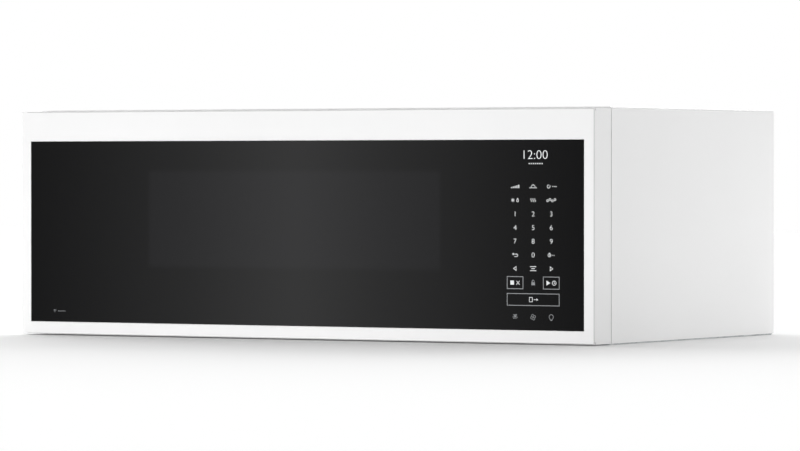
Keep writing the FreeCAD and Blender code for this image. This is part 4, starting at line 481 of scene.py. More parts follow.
# ------------------------------------------------------------------ signs of the keys
def bar(x, low, wide, tall):
    """Corner points of an upright bar."""
    return [(x - wide / 2, low), (x + wide / 2, low), (x + wide / 2, low + tall), (x - wide / 2, low + tall)]


def dot(x, z, radius):
    """Points round a small disc."""
    return arc((x, z), radius, 0, 360, 10)[:-1]


def sign_power():
    return [("fill", bar(-5.0 + 2.5 * step, -2.0, 1.4, 1.2 + 0.7 * step)) for step in range(5)]


def sign_dish():
    return [("line", arc((0, -1.0), 2.8, 0, 180)), ("line", [(-5.2, -1.6), (5.2, -1.6)]),
            ("fill", dot(0, 2.3, 0.5))]


def sign_again():
    around = [("line", arc((-3.6, 0), 1.9, 70, 380, 18)), ("fill", [(-2.6, 0.9), (-0.7, 0.9), (-1.7, -0.7)])]
    return around + [("fill", dot(2.0 + 2.2 * step, 0, 0.62)) for step in range(3)]


def sign_crystal():
    arms = []
    for turn in range(3):
        angle = math.radians(30 + 60 * turn)
        x, z = 2.3 * math.cos(angle), 2.3 * math.sin(angle)
        arms.append(("line", [(-x - 3.0, -z), (x - 3.0, z)]))
    drop = [(3.4, 2.2)] + arc((3.4, -0.7), 1.35, 20, -200, 10)
    return arms + [("loop", drop)]


def sign_melting():
    waves = []
    for step in (-1, 0, 1):
        line = [(2.6 * step + 0.75 * math.sin(turn * math.pi / 3), -2.1 + 0.7 * turn) for turn in range(7)]
        waves.append(("line", line))
    return waves


def sign_kernels():
    places = ((-5.0, -0.6), (-1.7, 0.9), (1.6, -0.8), (5.0, 0.7))
    return [("loop", dot(x, z, 1.25)) for x, z in places]


def sign_back():
    return [("line", [(-2.0, 0.9), (2.2, 0.9)] + arc((2.2, -0.6), 1.5, 90, -90, 8) + [(-1.0, -2.1)]),
            ("fill", [(-4.2, 0.9), (-1.9, 2.3), (-1.9, -0.5)])]


def sign_timer():
    trail = [("fill", dot(1.8 + 2.0 * step, -0.2, 0.55)) for step in range(2)]
    return [("loop", dot(-2.4, -0.2, 2.0)), ("line", [(-2.4, 1.0), (-2.4, -0.2), (-1.3, -0.9)]),
            ("fill", bar(-2.4, 2.2, 1.6, 0.5))] + trail


def sign_menu():
    return [("fill", bar(0, low, wide, 0.75)) for low, wide in ((2.0, 8.5), (-0.4, 5.0), (-2.8, 8.5))]


def sign_left():
    return [("loop", [(-2.1, 0), (1.4, 2.4), (1.4, -2.4)])]


def sign_right():
    return [("loop", [(2.1, 0), (-1.4, -2.4), (-1.4, 2.4)])]


def sign_stop():
    return [("fill", bar(-3.2, -2.0, 4.0, 4.0)), ("line", [(1.4, -1.8), (5.0, 1.8)]),
            ("line", [(1.4, 1.8), (5.0, -1.8)])]


def sign_start():
    return [("fill", [(-5.2, -2.4), (-0.9, 0), (-5.2, 2.4)]), ("loop", dot(3.2, 0, 2.1)),
            ("line", [(3.2, 1.3), (3.2, 0), (4.3, -0.6)])]


def sign_lock():
    return [("fill", bar(0, -2.6, 4.4, 3.2)), ("line", [(-1.4, 0.6), (-1.4, 1.6)]
            + arc((0, 1.6), 1.4, 180, 0, 8) + [(1.4, 0.6)])]


def sign_door():
    return [("loop", bar(-2.6, -2.2, 3.4, 4.4)), ("line", [(0.6, 0), (4.2, 0)]),
            ("fill", [(3.8, 1.3), (5.8, 0), (3.8, -1.3)])]


def sign_hob_lamp():
    rays = []
    for angle in (210, 240, 270, 300, 330):
        x, z = math.cos(math.radians(angle)), math.sin(math.radians(angle))
        rays.append(("line", [(2.0 * x, 1.4 + 2.0 * z), (3.6 * x, 1.4 + 3.6 * z)]))
    return [("fill", arc((0, 1.6), 1.7, 0, -180, 8)), ("fill", bar(0, 2.2, 4.6, 0.6))] + rays


def sign_fan():
    blades = [("loop", dot(0, 0, 0.7))]
    for turn in range(4):
        angle = 90 * turn + 20
        centre = (1.75 * math.cos(math.radians(angle)), 1.75 * math.sin(math.radians(angle)))
        blades.append(("line", arc(centre, 1.25, angle - 120, angle + 100, 8)))
    return blades


def sign_bulb():
    glass = arc((0, 0.5), 2.5, -55, 235, 14)
    return [("line", glass + [(-1.1, -2.6), (1.1, -2.6), glass[0]]), ("fill", bar(0, -3.5, 1.8, 0.5))]


def sign_signal():
    waves = [("line", arc((-6.0, -1.4), 1.1 * step, 45, 135, 6)) for step in (1, 2, 3)]
    ticks = [("fill", bar(0.2 + 2.6 * step, -0.6, 1.7, 1.2)) for step in range(5)]
    return [("fill", dot(-6.0, -1.3, 0.5))] + waves + ticks


def draw_sign(drawing, sign, centre, width, size=1.0):
    """Draws one sign's lines and filled shapes round a centre."""
    for kind, points in sign:
        placed = shifted(points, centre, size)
        if kind == "fill":
            patch(drawing, placed)
        else:
            stroke(drawing, placed, width, closed=kind == "loop")


KEY_ROWS = (
    (sign_power, sign_dish, sign_again),
    (sign_crystal, sign_melting, sign_kernels),
    ("1", "2", "3"),
    ("4", "5", "6"),
    ("7", "8", "9"),
    (sign_back, "0", sign_timer),
    (sign_left, sign_menu, sign_right),
)


def print_layer(drawing, name, material):
    """Raises the drawing by the thickness of the ink and puts it on the door."""
    thicken(drawing, Vector((0, -0.00003, 0)))
    return piece_from(drawing, name, "door", material)


# ------------------------------------------------------------------ settings
class OvenFinish(bpy.types.PropertyGroup):
    """Surface values a user may change."""
    coat_roughness: bpy.props.FloatProperty(
        name="Powder coat roughness", description="Satin of the white coat", default=0.36, subtype="FACTOR")
    coat_white: bpy.props.StringProperty(
        name="White", description="Paler shade of the coat, as sRGB hex", default="F0F0F0")
    coat_shade: bpy.props.StringProperty(
        name="Shaded white", description="Darker shade of the coat, as sRGB hex", default="EDEDED")
    # painted shade on the folds: its grey, and the bounds that keep it to the door's folds and the top edges
    fold_shade_colour: bpy.props.StringProperty(
        name="Folds", description="Shade where the coat is thin, as sRGB hex", default="CBCBCB")
    hinge_edge: bpy.props.FloatProperty(
        name="Hinge edge", description="X where the wide rounded edge ends", default=-372 * MM, unit="LENGTH")
    door_back: bpy.props.FloatProperty(
        name="Door back", description="Y just in front of the door's rear edge",
        default=-190 * MM, unit="LENGTH")
    top_edge: bpy.props.FloatProperty(
        name="Top edge", description="Z just below the rounded top edges", default=255 * MM, unit="LENGTH")
    orange_peel: bpy.props.FloatProperty(
        name="Orange peel", description="Crest to crest of the coat's ripple", default=2 * MM, unit="LENGTH")
    zinc_crystal: bpy.props.FloatProperty(
        name="Zinc crystal", description="Width of a crystal of the galvanised sheet",
        default=9 * MM, unit="LENGTH")
    window_dot: bpy.props.FloatProperty(
        name="Window dot", description="Pitch of the dots in the door's window",
        default=1.6 * MM, unit="LENGTH")
    # edges of the window that is painted a shade lighter on the glass
    window_left: bpy.props.FloatProperty(
        name="Window left", description="Left edge of the see-through part",
        default=-202 * MM, unit="LENGTH")
    window_right: bpy.props.FloatProperty(
        name="Window right", description="Right edge of the see-through part",
        default=185 * MM, unit="LENGTH")
    window_foot: bpy.props.FloatProperty(
        name="Window foot", description="Lower edge of the see-through part",
        default=81.5 * MM, unit="LENGTH")
    window_head: bpy.props.FloatProperty(
        name="Window head", description="Upper edge of the see-through part",
        default=191.5 * MM, unit="LENGTH")


class OvenControls(bpy.types.PropertyGroup):
    """Layout of the touch keys; plain numbers are millimetres on the glass."""
    middle: bpy.props.FloatProperty(
        name="Middle column", description="X of the middle column of keys, mm", default=303.2)
    column: bpy.props.FloatProperty(
        name="Column pitch", description="Between columns of keys, mm", default=22.7)
    top_row: bpy.props.FloatProperty(name="Top row", description="Height of the top row, mm", default=174.5)
    row: bpy.props.FloatProperty(name="Row pitch", description="Between rows of keys, mm", default=15.08)
    figure: bpy.props.FloatProperty(
        name="Figure height", description="Height of a key's figure, mm", default=5.4)
    line: bpy.props.FloatProperty(name="Line width", description="Width of a sign's lines, mm", default=0.6)
    clock_x: bpy.props.FloatProperty(name="Clock middle", description="X of the clock, mm", default=306.3)
    clock_z: bpy.props.FloatProperty(name="Clock height", description="Z of the clock, mm", default=209.5)
    clock_tall: bpy.props.FloatProperty(
        name="Clock figures", description="Height of its figures, mm", default=9.6)


class OvenStage(bpy.types.PropertyGroup):
    """Camera and light of the studio."""
    eye: bpy.props.FloatVectorProperty(
        name="Camera place", description="Where the camera stands", default=(2.900, -4.945, 0.1905),
        subtype="TRANSLATION", unit="LENGTH")
    turn: bpy.props.FloatProperty(
        name="Camera turn", description="To the left of straight back", default=math.radians(30.366),
        subtype="ANGLE")
    dip: bpy.props.FloatProperty(
        name="Camera dip", description="Below level", default=math.radians(0.627), subtype="ANGLE")
    focal: bpy.props.FloatProperty(
        name="Focal length", description="On a 36 mm wide sensor", default=220.3, subtype="DISTANCE_CAMERA",
        unit="CAMERA")
    floor_glow: bpy.props.FloatProperty(
        name="Floor glow", description="Light that comes up through the table", default=0.14)
    # how slowly the painted shadow to the right of the oven fades
    painted_shadow_right_slope: bpy.props.FloatProperty(
        name="Right slope", description="How soon the table lights up again to the right", default=0.2)
    room: bpy.props.FloatProperty(
        name="Room light", description="Strength of the white room", default=0.86)
    front_wall: bpy.props.FloatProperty(
        name="Front wall", description="Light of the wall that the door faces", default=0.6)
    right_wall: bpy.props.FloatProperty(
        name="Right wall", description="Light of the wall on the right", default=0.1)
    low_light: bpy.props.FloatProperty(
        name="Low light", description="Light of the low band behind the oven", default=4.5)
    front_light: bpy.props.FloatProperty(
        name="Low front light", description="Strip at the foot of the door", default=0.28, unit="POWER")
    side_light: bpy.props.FloatProperty(
        name="Side light", description="Wide light on the right side", default=17.0, unit="POWER")
    face_light: bpy.props.FloatProperty(
        name="Face light", description="Wide light on the door", default=24.0, unit="POWER")
    rear_light: bpy.props.FloatProperty(
        name="Right rear light", description="Upright strip beside the back corner", default=0.42,
        unit="POWER")


# ------------------------------------------------------------------ operators
class OVEN_OT_coat_cabinet(bpy.types.Operator):
    """White powder coat on the wrap, the face behind the door and the door frame"""
    bl_idname = "oven.coat_cabinet"
    bl_label = "Coat the cabinet and door frame"

    def execute(self, context):
        coated = powder_coated_steel(context.scene.oven_finish)
        dress(coated, "outer_wrap", "door_frame", "front_frame", "latch_plate")
        return {"FINISHED"}


class OVEN_OT_finish_chassis(bpy.types.Operator):
    """Galvanised sheet of the base, back, rail and shelf"""
    bl_idname = "oven.finish_chassis"
    bl_label = "Finish the galvanised chassis"

    def execute(self, context):
        zinc = zinc_coated_steel(context.scene.oven_finish)
        dress(zinc, "base_pan", "rear_panel", "rear_cover", "top_rail", "component_shelf", "waveguide",
              "blower_scroll_left", "blower_scroll_right")
        dress(moulded_plastic("moulded_nylon_black", "111213", "17181A", 0.5, 0.0004),
              "cord_bush", "control_carrier", "latch_board", "fan_shroud", "air_duct")
        return {"FINISHED"}


class OVEN_OT_enamel_cavity(bpy.types.Operator):
    """Grey enamel of the oven cavity and the back of the door"""
    bl_idname = "oven.enamel_cavity"
    bl_label = "Enamel the cavity"

    def execute(self, context):
        grey = baked_enamel("baked_enamel_grey", "BFC2C3", "9A9D9F", 0.3)
        dress(grey, "oven_cavity", "oven_floor", "door_inner_panel")
        dress(pressed_mica(), "waveguide_cover")
        return {"FINISHED"}


class OVEN_OT_glaze_door(bpy.types.Operator):
    """Black printed glass, the inner window and the choke cover"""
    bl_idname = "oven.glaze_door"
    bl_label = "Glaze the door"

    def execute(self, context):
        look = context.scene.oven_finish
        window = (look.window_left, look.window_right, look.window_foot, look.window_head)
        dress(tempered_door_glass(look, window), "door_glass")
        dress(clear_glass("clear_polyester_sheet", "E2EAE8", 0.08), "inner_window")
        dress(moulded_plastic("moulded_polypropylene_grey", "5C5F62", "67696C", 0.42, 0.0003),
              "choke_cover", "interlock_switches", "release_slide")
        return {"FINISHED"}


class OVEN_OT_print_keys(bpy.types.Operator):
    """Figures and signs of the touch keys"""
    bl_idname = "oven.print_keys"
    bl_label = "Print the keys"

    def execute(self, context):
        keys = context.scene.oven_controls
        numbers = bmesh.new()
        signs = bmesh.new()
        for row, marks in enumerate(KEY_ROWS):
            for column, mark in enumerate(marks):
                centre = (keys.middle + (column - 1) * keys.column, keys.top_row - row * keys.row)
                if isinstance(mark, str):
                    figures(numbers, mark, centre, keys.figure, 1.08, 0.008)
                else:
                    draw_sign(signs, mark(), centre, keys.line, 0.92)
        # the glow on the printed ink is painted light
        ink = screen_ink("ceramic_ink_white", "DEE0E1", 0.18)
        print_layer(numbers, "key_figures", ink)
        print_layer(signs, "key_signs", ink)
        return {"FINISHED"}


class OVEN_OT_print_boxes(bpy.types.Operator):
    """Outlined keys for stop, start and door, and the lamp and fan signs"""
    bl_idname = "oven.print_boxes"
    bl_label = "Print the outlined keys"

    def execute(self, context):
        keys = context.scene.oven_controls
        outlines = bmesh.new()
        signs = bmesh.new()
        small_z, wide_z, foot_z = 68.4, 49.9, 30.6
        small_wide, small_tall, wide_tall = 19.9, 13.3, 13.0
        reach = keys.column + small_wide / 2
        boxes = [bar(keys.middle + side * keys.column, small_z - small_tall / 2, small_wide, small_tall)
                 for side in (-1, 1)]
        boxes.append(bar(keys.middle, wide_z - wide_tall / 2, 2 * reach, wide_tall))
        for box in boxes:
            stroke(outlines, box, keys.line * 1.35, closed=True)
        draw_sign(outlines, sign_lock(), (keys.middle, small_z), keys.line)
        for mark, side in ((sign_stop, -1), (sign_start, 1)):
            draw_sign(signs, mark(), (keys.middle + side * keys.column, small_z), keys.line * 1.1, 1.15)
        draw_sign(signs, sign_door(), (keys.middle, wide_z), keys.line, 1.1)
        for mark, side in ((sign_hob_lamp, -1), (sign_fan, 0), (sign_bulb, 1)):
            draw_sign(outlines, mark(), (keys.middle + side * keys.column, foot_z), keys.line, 1.05)
        # the glow on both printed inks is painted light
        grey = screen_ink("ceramic_ink_grey", "8C8E90", 0.12)
        print_layer(outlines, "key_outlines", grey)
        print_layer(signs, "box_signs", screen_ink("ceramic_ink_bright", "DCDEDF", 0.18))
        return {"FINISHED"}


class OVEN_OT_light_clock(bpy.types.Operator):
    """Lit figures of the clock, the day marks under it and the signal sign"""
    bl_idname = "oven.light_clock"
    bl_label = "Light the clock"

    def execute(self, context):
        keys = context.scene.oven_controls
        clock = bmesh.new()
        figures(clock, "12:00", (keys.clock_x, keys.clock_z), keys.clock_tall, 1.08, 0.016)
        for day in range(7):
            patch(clock, bar(keys.clock_x + (day - 3) * 2.7, keys.clock_z - 10.4, 1.3, 1.3))
        lit = screen_ink("lit_display_segments", "DDDFE0", 0.35)
        print_layer(clock, "clock_figures", lit)
        signal = bmesh.new()
        draw_sign(signal, sign_signal(), (-328.0, 28.5), keys.line * 0.8, 0.85)
        # the faint glow on the printed signal sign is painted light
        print_layer(signal, "signal_sign", screen_ink("ceramic_ink_dim", "77797B", 0.05))
        dress(moulded_plastic("display_module_case", "0C0D0F", "121315", 0.2, 0.0005), "display_module")
        return {"FINISHED"}


class OVEN_OT_finish_controls(bpy.types.Operator):
    """Circuit boards of the controls, the supply and the lamps"""
    bl_idname = "oven.finish_controls"
    bl_label = "Finish the circuit boards"

    def execute(self, context):
        dress(circuit_laminate(), "touch_board", "power_board", "lamp_boards")
        return {"FINISHED"}


class OVEN_OT_finish_power_bay(bpy.types.Operator):
    """Magnetron, transformer, capacitor and their fan"""
    bl_idname = "oven.finish_power_bay"
    bl_label = "Finish the power bay"

    def execute(self, context):
        dress(stacked_laminations(), "transformer_core", "fan_motor", "blower_motor")
        dress(wound_copper(), "transformer_windings")
        dress(rolled_metal("drawn_aluminium", "A9ADB0", "C5C8CA", 0.3, (900, 60, 900)),
              "magnetron_core", "high_voltage_capacitor")
        return {"FINISHED"}


class OVEN_OT_finish_plated_parts(bpy.types.Operator):
    """Zinc-plated arms, shafts and yokes"""
    bl_idname = "oven.finish_plated_parts"
    bl_label = "Finish the plated parts"

    def execute(self, context):
        plated = rolled_metal("zinc_plated_steel", "A3A49F", "BFC0BB", 0.34, (500, 500, 70))
        dress(plated, "hinge_arms", "magnetron_frame", "blower_shaft", "motor_shaft", "turntable_motor",
              "release_actuator")
        return {"FINISHED"}


class OVEN_OT_drive_screws(bpy.types.Operator):
    """Countersunk screws with a cross recess, flush in the seats of the rear panel"""
    bl_idname = "oven.drive_screws"
    bl_label = "Drive the rear screws"

    reach: bpy.props.FloatProperty(
        name="Reach", description="Outermost screws from the middle, mm", default=369.3)
    high: bpy.props.FloatProperty(name="High", description="Height of the upper screws, mm", default=255.3)
    middle: bpy.props.FloatProperty(
        name="Middle", description="Height of the side screws, mm", default=131.25)
    low: bpy.props.FloatProperty(name="Low", description="Height of the lower screws, mm", default=10.5)

    def execute(self, context):
        places = [(side * self.reach, self.middle) for side in (-1, 1)]
        for share in (-1, -1 / 3, 1 / 3, 1):
            places += [(share * self.reach, self.low), (share * self.reach, self.high)]
        drawing = bmesh.new()
        for x, z in places:
            sink_screw(drawing, x, z)
        plated = rolled_metal("zinc_plated_screws", "9FA09B", "C4C5C0", 0.3, (500, 500, 70))
        piece_from(drawing, "rear_screws", "cabinet", plated)
        return {"FINISHED"}


def sink_screw(drawing, x, z):
    """One screw: shank, countersunk head just below the panel's face, and the recess cut into it."""
    turn = [math.radians(15 * step) for step in range(24)]
    shank, head, face, recess = 1.5, 4.2, 222.97, 222.5
    rings = []
    for radius, y in ((shank, 220.6), (shank, 222.3), (head, face - 0.05), (head, face)):
        circle = [(x + radius * math.cos(angle), y, z + radius * math.sin(angle)) for angle in turn]
        rings.append([drawing.verts.new(Vector(corner) * MM) for corner in circle])
    cross = [(2.0, -0.42), (2.0, 0.42), (0.42, 0.42)]
    for quarter in range(3):
        cross += [(-up, across) for across, up in cross[-3:]]
    for y in (face, recess):
        rings.append([drawing.verts.new(Vector((x + across, y, z + up)) * MM) for across, up in cross])
    for lower, upper in zip(rings[:3] + rings[4:5], rings[1:4] + rings[5:]):
        skin(drawing, lower, upper)
    drawing.faces.new(rings[0])
    drawing.faces.new(rings[5])
    edges = []
    for ring in rings[3:5]:
        edges += [drawing.edges.get((first, second)) for first, second in zip(ring, ring[1:] + ring[:1])]
    bmesh.ops.triangle_fill(drawing, use_beauty=True, edges=edges)


class OVEN_OT_wind_spring(bpy.types.Operator):
    """Latch spring, wound as a coil of wire in place of the plain spring part"""
    bl_idname = "oven.wind_spring"
    bl_label = "Wind the latch spring"

    turns: bpy.props.IntProperty(name="Turns", description="Turns of the coil", default=6)
    wire: bpy.props.FloatProperty(
        name="Wire", description="Radius of the wire", default=0.5 * MM, unit="LENGTH")

    def execute(self, context):
        low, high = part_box("latch_spring")
        axis = (low + high) / 2
        coil = (high.y - low.y) / 2 - self.wire
        rise = high.z - low.z - 2 * self.wire
        drawing = bmesh.new()
        rings = []
        for step in range(24 * self.turns + 1):
            share = step / (24 * self.turns)
            angle = math.tau * self.turns * share
            # the first and last coil are wound closer than the rest
            z = low.z + self.wire + rise * (share - 0.08 * math.sin(math.tau * share))
            rings.append([])
            for side in range(8):
                turn = math.tau * side / 8
                reach = coil + self.wire * math.cos(turn)
                rings[-1].append(drawing.verts.new((
                    axis.x + reach * math.cos(angle), axis.y + reach * math.sin(angle),
                    z + self.wire * math.sin(turn))))
        for lower, upper in zip(rings, rings[1:]):
            skin(drawing, lower, upper)
        drawing.faces.new(rings[0])
        drawing.faces.new(rings[-1])
        for face in drawing.faces:
            face.smooth = True
        drawn = rolled_metal("drawn_spring_wire", "8F9090", "B9BAB8", 0.28, (60, 60, 2400))
        spring = piece_from(drawing, "latch_coil", None, drawn)
        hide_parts("latch_spring")
        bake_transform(spring)
        return {"FINISHED"}


class OVEN_OT_finish_white_mouldings(bpy.types.Operator):
    """Natural nylon of the wheels, rollers, bushes and latch"""
    bl_idname = "oven.finish_white_mouldings"
    bl_label = "Finish the white mouldings"

    def execute(self, context):
        nylon = moulded_plastic("moulded_nylon_natural", "D9D7CE", "E4E2DA", 0.45, 0.0004)
        dress(nylon, "fan_rotor", "cavity_lamp", "blower_wheel_left", "blower_wheel_right", "lamp_housings",
              "drive_coupler", "roller_support", "roller_1", "roller_2", "roller_3", "hinge_bushes",
              "latch_bar")
        dress(clear_glass("pressed_soda_lime_glass", "DCE8E4", 0.03), "turntable_tray")
        dress(frosted_lens(), "lamp_lenses")
        return {"FINISHED"}


class OVEN_OT_perforate_screen(bpy.types.Operator):
    """Perforated screen in the window pocket, with its staggered rows of holes"""
    bl_idname = "oven.perforate_screen"
    bl_label = "Perforate the window screen"

    def execute(self, context):
        low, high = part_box("window_screen")
        coated = baked_enamel("black_enamel_on_steel", "151617", "222426", 0.35)
        drawing = bmesh.new()
        pitch, hole, border = 4.0 * MM, 1.35 * MM, 8.0 * MM
        lattice(drawing, (low.x + border, high.x - border), (low.z + border, high.z - border),
                pitch, hole, lambda across, up: Vector((across, low.y, up)))
        frame_round(drawing, (low.x, high.x), (low.z, high.z), border,
                    lambda across, up: Vector((across, low.y, up)))
        bmesh.ops.remove_doubles(drawing, verts=drawing.verts[:], dist=1e-6)
        thicken(drawing, Vector((0, high.y - low.y, 0)))
        screen = piece_from(drawing, "perforated_screen", "door", coated)
        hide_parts("window_screen")
        return {"FINISHED"}


def frame_round(drawing, across, up, border, place):
    """A plain border of a given width round the inside of a rectangle."""
    spans = (
        (across[0], across[1], up[0], up[0] + border),
        (across[0], across[1], up[1] - border, up[1]),
        (across[0], across[0] + border, up[0] + border, up[1] - border),
        (across[1] - border, across[1], up[0] + border, up[1] - border),
    )
    for left, right, low, high in spans:
        corners = ((left, low), (right, low), (right, high), (left, high))
        drawing.faces.new([drawing.verts.new(place(*corner)) for corner in corners])


class OVEN_OT_weave_filters(bpy.types.Operator):
    """Expanded aluminium mesh on the underside of both grease filters"""
    bl_idname = "oven.weave_filters"
    bl_label = "Lay the filter mesh"

    def execute(self, context):
        mesh_metal = rolled_metal("expanded_aluminium", "B4B7B9", "CED1D2", 0.28, (300, 300, 300))
        dress(mesh_metal, "grease_filter_left", "grease_filter_right")
        border, level = 10.0 * MM, 1.7 * MM
        for side in ("left", "right"):
            low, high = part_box("grease_filter_" + side)
            drawing = bmesh.new()
            lattice(drawing, (low.x + border, high.x - border), (low.y + border, high.y - border),
                    5.0 * MM, 2.15 * MM, lambda across, up: Vector((across, up, level)))
            bmesh.ops.remove_doubles(drawing, verts=drawing.verts[:], dist=1e-6)
            thicken(drawing, Vector((0, 0, 0.5 * MM)))
            piece_from(drawing, "filter_mesh_" + side, "filter_" + side, mesh_metal)
        return {"FINISHED"}


class OVEN_OT_set_stage(bpy.types.Operator):
    """Pale floor, white room and the camera"""
    bl_idname = "oven.set_stage"
    bl_label = "Set the stage"

    def execute(self, context):
        studio = context.scene.oven_stage
        lay_floor(studio)
        light_room(context.scene, studio)
        eye = bpy.data.cameras.new("camera")
        eye.lens = studio.focal
        eye.sensor_width = 36.0
        eye.clip_end = 60.0
        camera = bpy.data.objects.new("camera", eye)
        camera.location = studio.eye
        camera.rotation_euler = (math.radians(90) - studio.dip, 0, studio.turn)
        context.scene.collection.objects.link(camera)
        context.scene.camera = camera
        context.scene.view_settings.view_transform = "Standard"
        return {"FINISHED"}


def lay_floor(studio):
    """A wide white light table that the oven stands on, lit faintly from below, its glow taken away round the
    oven as a painted shadow.
    """
    drawing = bmesh.new()
    bmesh.ops.create_grid(drawing, x_segments=12, y_segments=12, size=9.0)
    mesh = bpy.data.meshes.new("studio_floor")
    drawing.to_mesh(mesh)
    drawing.free()
    material, tree, shader = finish_named("opal_acrylic_light_table", {
        "Roughness": 0.95, "Specular IOR Level": 0.1, "Emission Color": (1, 1, 1, 1)})
    place = add(tree, "ShaderNodeTexCoord").outputs["Object"]
    # painted shadow: the glow ends where the oven stands and starts slowly again to its right, darkening the
    # floor round the oven
    spot = add(tree, "ShaderNodeSeparateXYZ", inputs={"Vector": place})
    half_width, half_depth = 0.38, 0.22
    deep = add(tree, "ShaderNodeMath", {"operation": "ABSOLUTE"}, {0: spot.outputs["Y"]}).outputs[0]
    clear = add(tree, "ShaderNodeMath", {"operation": "SUBTRACT"}, {0: deep, 1: half_depth}).outputs[0]
    for slope in (-1.0, studio.painted_shadow_right_slope):
        aside = add(tree, "ShaderNodeMath", {"operation": "MULTIPLY_ADD"}, {
            0: spot.outputs["X"], 1: slope, 2: -half_width * abs(slope)})
        clear = add(tree, "ShaderNodeMath", {"operation": "MAXIMUM"}, {
            0: clear, 1: aside.outputs[0]}).outputs[0]
    glow = add(tree, "ShaderNodeMapRange", SMOOTH_STEP, {
        "Value": clear, "From Min": -0.04, "From Max": 0.06, "To Max": studio.floor_glow})
    tree.links.new(glow.outputs["Result"], shader.inputs["Emission Strength"])
    cloud = add(tree, "ShaderNodeTexNoise", inputs={"Vector": place, "Scale": 0.4})
    tone = add(tree, "ShaderNodeValToRGB", {"stops": [
        (0.0, linear("F3F3F3")), (1.0, linear("F6F6F6"))]}, {"Fac": cloud.outputs["Fac"]}).outputs["Color"]
    tree.links.new(tone, shader.inputs["Base Color"])
    mesh.materials.append(material)
    floor = bpy.data.objects.new("studio_floor", mesh)
    # the polished glass mirrors the room alone, as it does in a studio with a short floor
    floor.visible_glossy = False
    bpy.context.scene.collection.objects.link(floor)


def light_room(scene, studio):
    """A white room: even light on the door, low light from behind, and a lit card for the glass."""
    world = bpy.data.worlds.new("white_room")
    scene.world = world
    world.use_nodes = True
    tree = world.node_tree
    tree.nodes.clear()
    axes = add(tree, "ShaderNodeSeparateXYZ", inputs={
        "Vector": add(tree, "ShaderNodeTexCoord").outputs["Generated"]})
    aside, ahead, up = (axes.outputs[name] for name in "XYZ")
    forward = add(tree, "ShaderNodeMath", {"operation": "MULTIPLY"}, {0: ahead, 1: -1.0}).outputs[0]
    leftward = add(tree, "ShaderNodeMath", {"operation": "MULTIPLY"}, {0: aside, 1: -1.0}).outputs[0]
    # walls by height: the one the door faces is even, those behind and left are bright low down
    turned = add(tree, "ShaderNodeMath", {"operation": "MULTIPLY_ADD"}, {
        0: aside, 1: -0.2, 2: ahead}).outputs[0]
    walls = add(tree, "ShaderNodeValToRGB", levels(
        (0.0, studio.front_wall), (0.5, studio.front_wall), (1.0, 0.7)), {"Fac": up}).outputs["Color"]
    low = studio.low_light
    behind = levels((0.0, 1.1), (0.1, 1.2), (0.22, low), (0.55, low), (0.7, 0.8), (1.0, 0.6))
    right = levels((0.0, studio.right_wall), (1.0, 0.7))
    for way, start, end, heights in ((turned, -0.2, 0.25, behind), (aside, -0.1, 0.5, right)):
        share = add(tree, "ShaderNodeMapRange", SMOOTH_STEP, {
            "Value": way, "From Min": start, "From Max": end})
        light = add(tree, "ShaderNodeValToRGB", heights, {"Fac": up})
        walls = add(tree, "ShaderNodeMix", MIX_COLOURS, {
            0: share.outputs["Result"], 6: walls, 7: light.outputs["Color"]}).outputs[2]
    # the glass mirrors a lit card at eye level, from 28 to 35 degrees left of the door
    angle = add(tree, "ShaderNodeMath", {"operation": "ARCTAN2"}, {0: leftward, 1: forward}).outputs[0]
    across = add(tree, "ShaderNodeMapRange", inputs={
        "Value": angle, "From Min": math.radians(20), "From Max": math.radians(42)}).outputs["Result"]
    card = add(tree, "ShaderNodeValToRGB", levels(
        (0.0, 0.8), (0.2, 0.19), (0.37, 0.19), (0.42, 0.37), (0.479, 0.68), (0.526, 1.05), (0.585, 0.6),
        (0.631, 0.36), (0.67, 0.2), (0.8, 0.2), (1.0, 0.8)), {"Fac": across}).outputs["Color"]
    height = add(tree, "ShaderNodeMath", {"operation": "ABSOLUTE"}, {0: up}).outputs[0]
    level = add(tree, "ShaderNodeMapRange", SMOOTH_STEP, {
        "Value": height, "From Min": 0.16, "From Max": 0.08}).outputs["Result"]
    inside = add(tree, "ShaderNodeMath", {"operation": "GREATER_THAN"}, {0: forward, 1: 0.0}).outputs[0]
    strip = add(tree, "ShaderNodeMath", {"operation": "MULTIPLY"}, {0: level, 1: inside}).outputs[0]
    mixed = add(tree, "ShaderNodeMix", MIX_COLOURS, {0: strip, 6: walls, 7: card}).outputs[2]
    room = add(tree, "ShaderNodeBackground", inputs={"Color": mixed, "Strength": studio.room})
    # the camera sees a plain white background whichever way it looks
    paper = add(tree, "ShaderNodeBackground", inputs={"Color": (1, 1, 1, 1), "Strength": 1.0})
    looked_at = add(tree, "ShaderNodeLightPath").outputs["Is Camera Ray"]
    seen = add(tree, "ShaderNodeMixShader", inputs={0: looked_at, 1: room.outputs[0], 2: paper.outputs[0]})
    output = add(tree, "ShaderNodeOutputWorld")
    tree.links.new(seen.outputs[0], output.inputs["Surface"])
    oven = bpy.data.collections.new("oven_only")
    for piece in scene.objects:
        if piece.type == "MESH" and piece.name != "studio_floor":
            oven.objects.link(piece)
    for name, place, aim, size, power in (
            ("low_front_light", (-0.04, -0.46, 0.05), (-0.04, -0.2, 0.05), (0.8, 0.06), studio.front_light),
            ("low_side_light", (0.66, -0.04, 0.05), (0.38, -0.04, 0.05), (0.4, 0.06), studio.front_light / 4),
            ("face_light", (-0.5, -2.6, 0.4), (0.0, -0.2, 0.13), (1.0, 1.0), studio.face_light),
            ("side_light", (2.6, -0.1, 0.3), (0.38, 0.0, 0.13), (1.0, 1.0), studio.side_light),
            ("right_rear_light", (0.75, 0.42, 0.08), (0.38, 0.25, 0.08), (0.1, 0.2), studio.rear_light)):
        hang_light(scene, name, place, aim, size, power, oven)


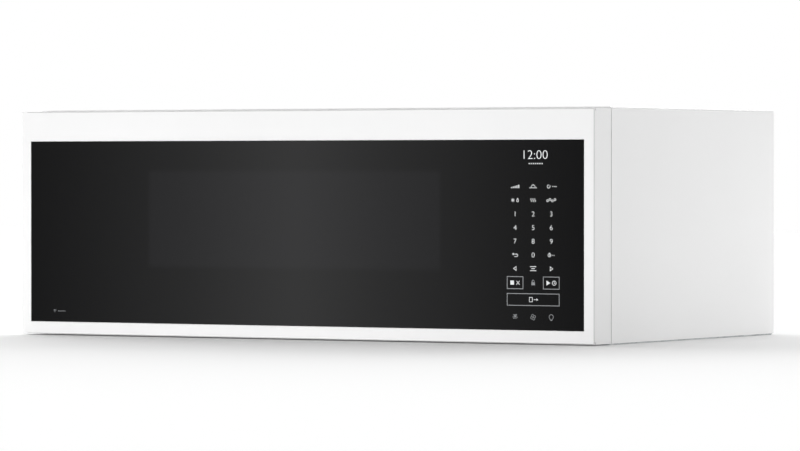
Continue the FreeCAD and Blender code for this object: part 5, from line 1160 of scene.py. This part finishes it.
def hang_light(scene, name, place, aim, size, power, lit):
    """A soft light for the oven alone, seen neither by the camera nor in a polished face."""
    lamp = bpy.data.lights.new(name, "AREA")
    lamp.shape = "RECTANGLE"
    lamp.size, lamp.size_y = size
    lamp.energy = power
    holder = bpy.data.objects.new(name, lamp)
    holder.location = place
    holder.rotation_euler = (Vector(aim) - Vector(place)).to_track_quat("-Z", "Z").to_euler()
    holder.visible_camera = False
    holder.visible_glossy = False
    holder.light_linking.receiver_collection = lit
    scene.collection.objects.link(holder)


# ------------------------------------------------------------------ the sidebar and the run
STEPS = (
    OVEN_OT_coat_cabinet, OVEN_OT_finish_chassis, OVEN_OT_enamel_cavity, OVEN_OT_glaze_door,
    OVEN_OT_print_keys, OVEN_OT_print_boxes, OVEN_OT_light_clock, OVEN_OT_finish_controls,
    OVEN_OT_finish_power_bay, OVEN_OT_finish_plated_parts, OVEN_OT_drive_screws, OVEN_OT_wind_spring,
    OVEN_OT_finish_white_mouldings, OVEN_OT_perforate_screen, OVEN_OT_weave_filters, OVEN_OT_set_stage,
)


class OVEN_PT_build(bpy.types.Panel):
    """Steps and settings of the oven"""
    bl_idname = "OVEN_PT_build"
    bl_label = "Microwave oven"
    bl_space_type = "VIEW_3D"
    bl_region_type = "UI"
    bl_category = "Oven"

    def draw(self, context):
        for step in STEPS:
            self.layout.operator(step.bl_idname)
        for settings in (context.scene.oven_finish, context.scene.oven_controls, context.scene.oven_stage):
            box = self.layout.box()
            for name in settings.__annotations__:
                box.prop(settings, name)


CLASSES = (OvenFinish, OvenControls, OvenStage) + STEPS + (OVEN_PT_build,)


def register():
    """Makes the classes and their settings known."""
    for kind in CLASSES:
        bpy.utils.register_class(kind)
    bpy.types.Scene.oven_finish = bpy.props.PointerProperty(type=OvenFinish)
    bpy.types.Scene.oven_controls = bpy.props.PointerProperty(type=OvenControls)
    bpy.types.Scene.oven_stage = bpy.props.PointerProperty(type=OvenStage)


def unregister():
    """Takes the settings and classes out again."""
    del bpy.types.Scene.oven_finish
    del bpy.types.Scene.oven_controls
    del bpy.types.Scene.oven_stage
    for kind in reversed(CLASSES):
        bpy.utils.unregister_class(kind)


def main():
    """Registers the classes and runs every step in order."""
    register()
    for step in STEPS:
        getattr(bpy.ops.oven, step.bl_idname.split(".")[1])()


if __name__ == "__main__":
    main()
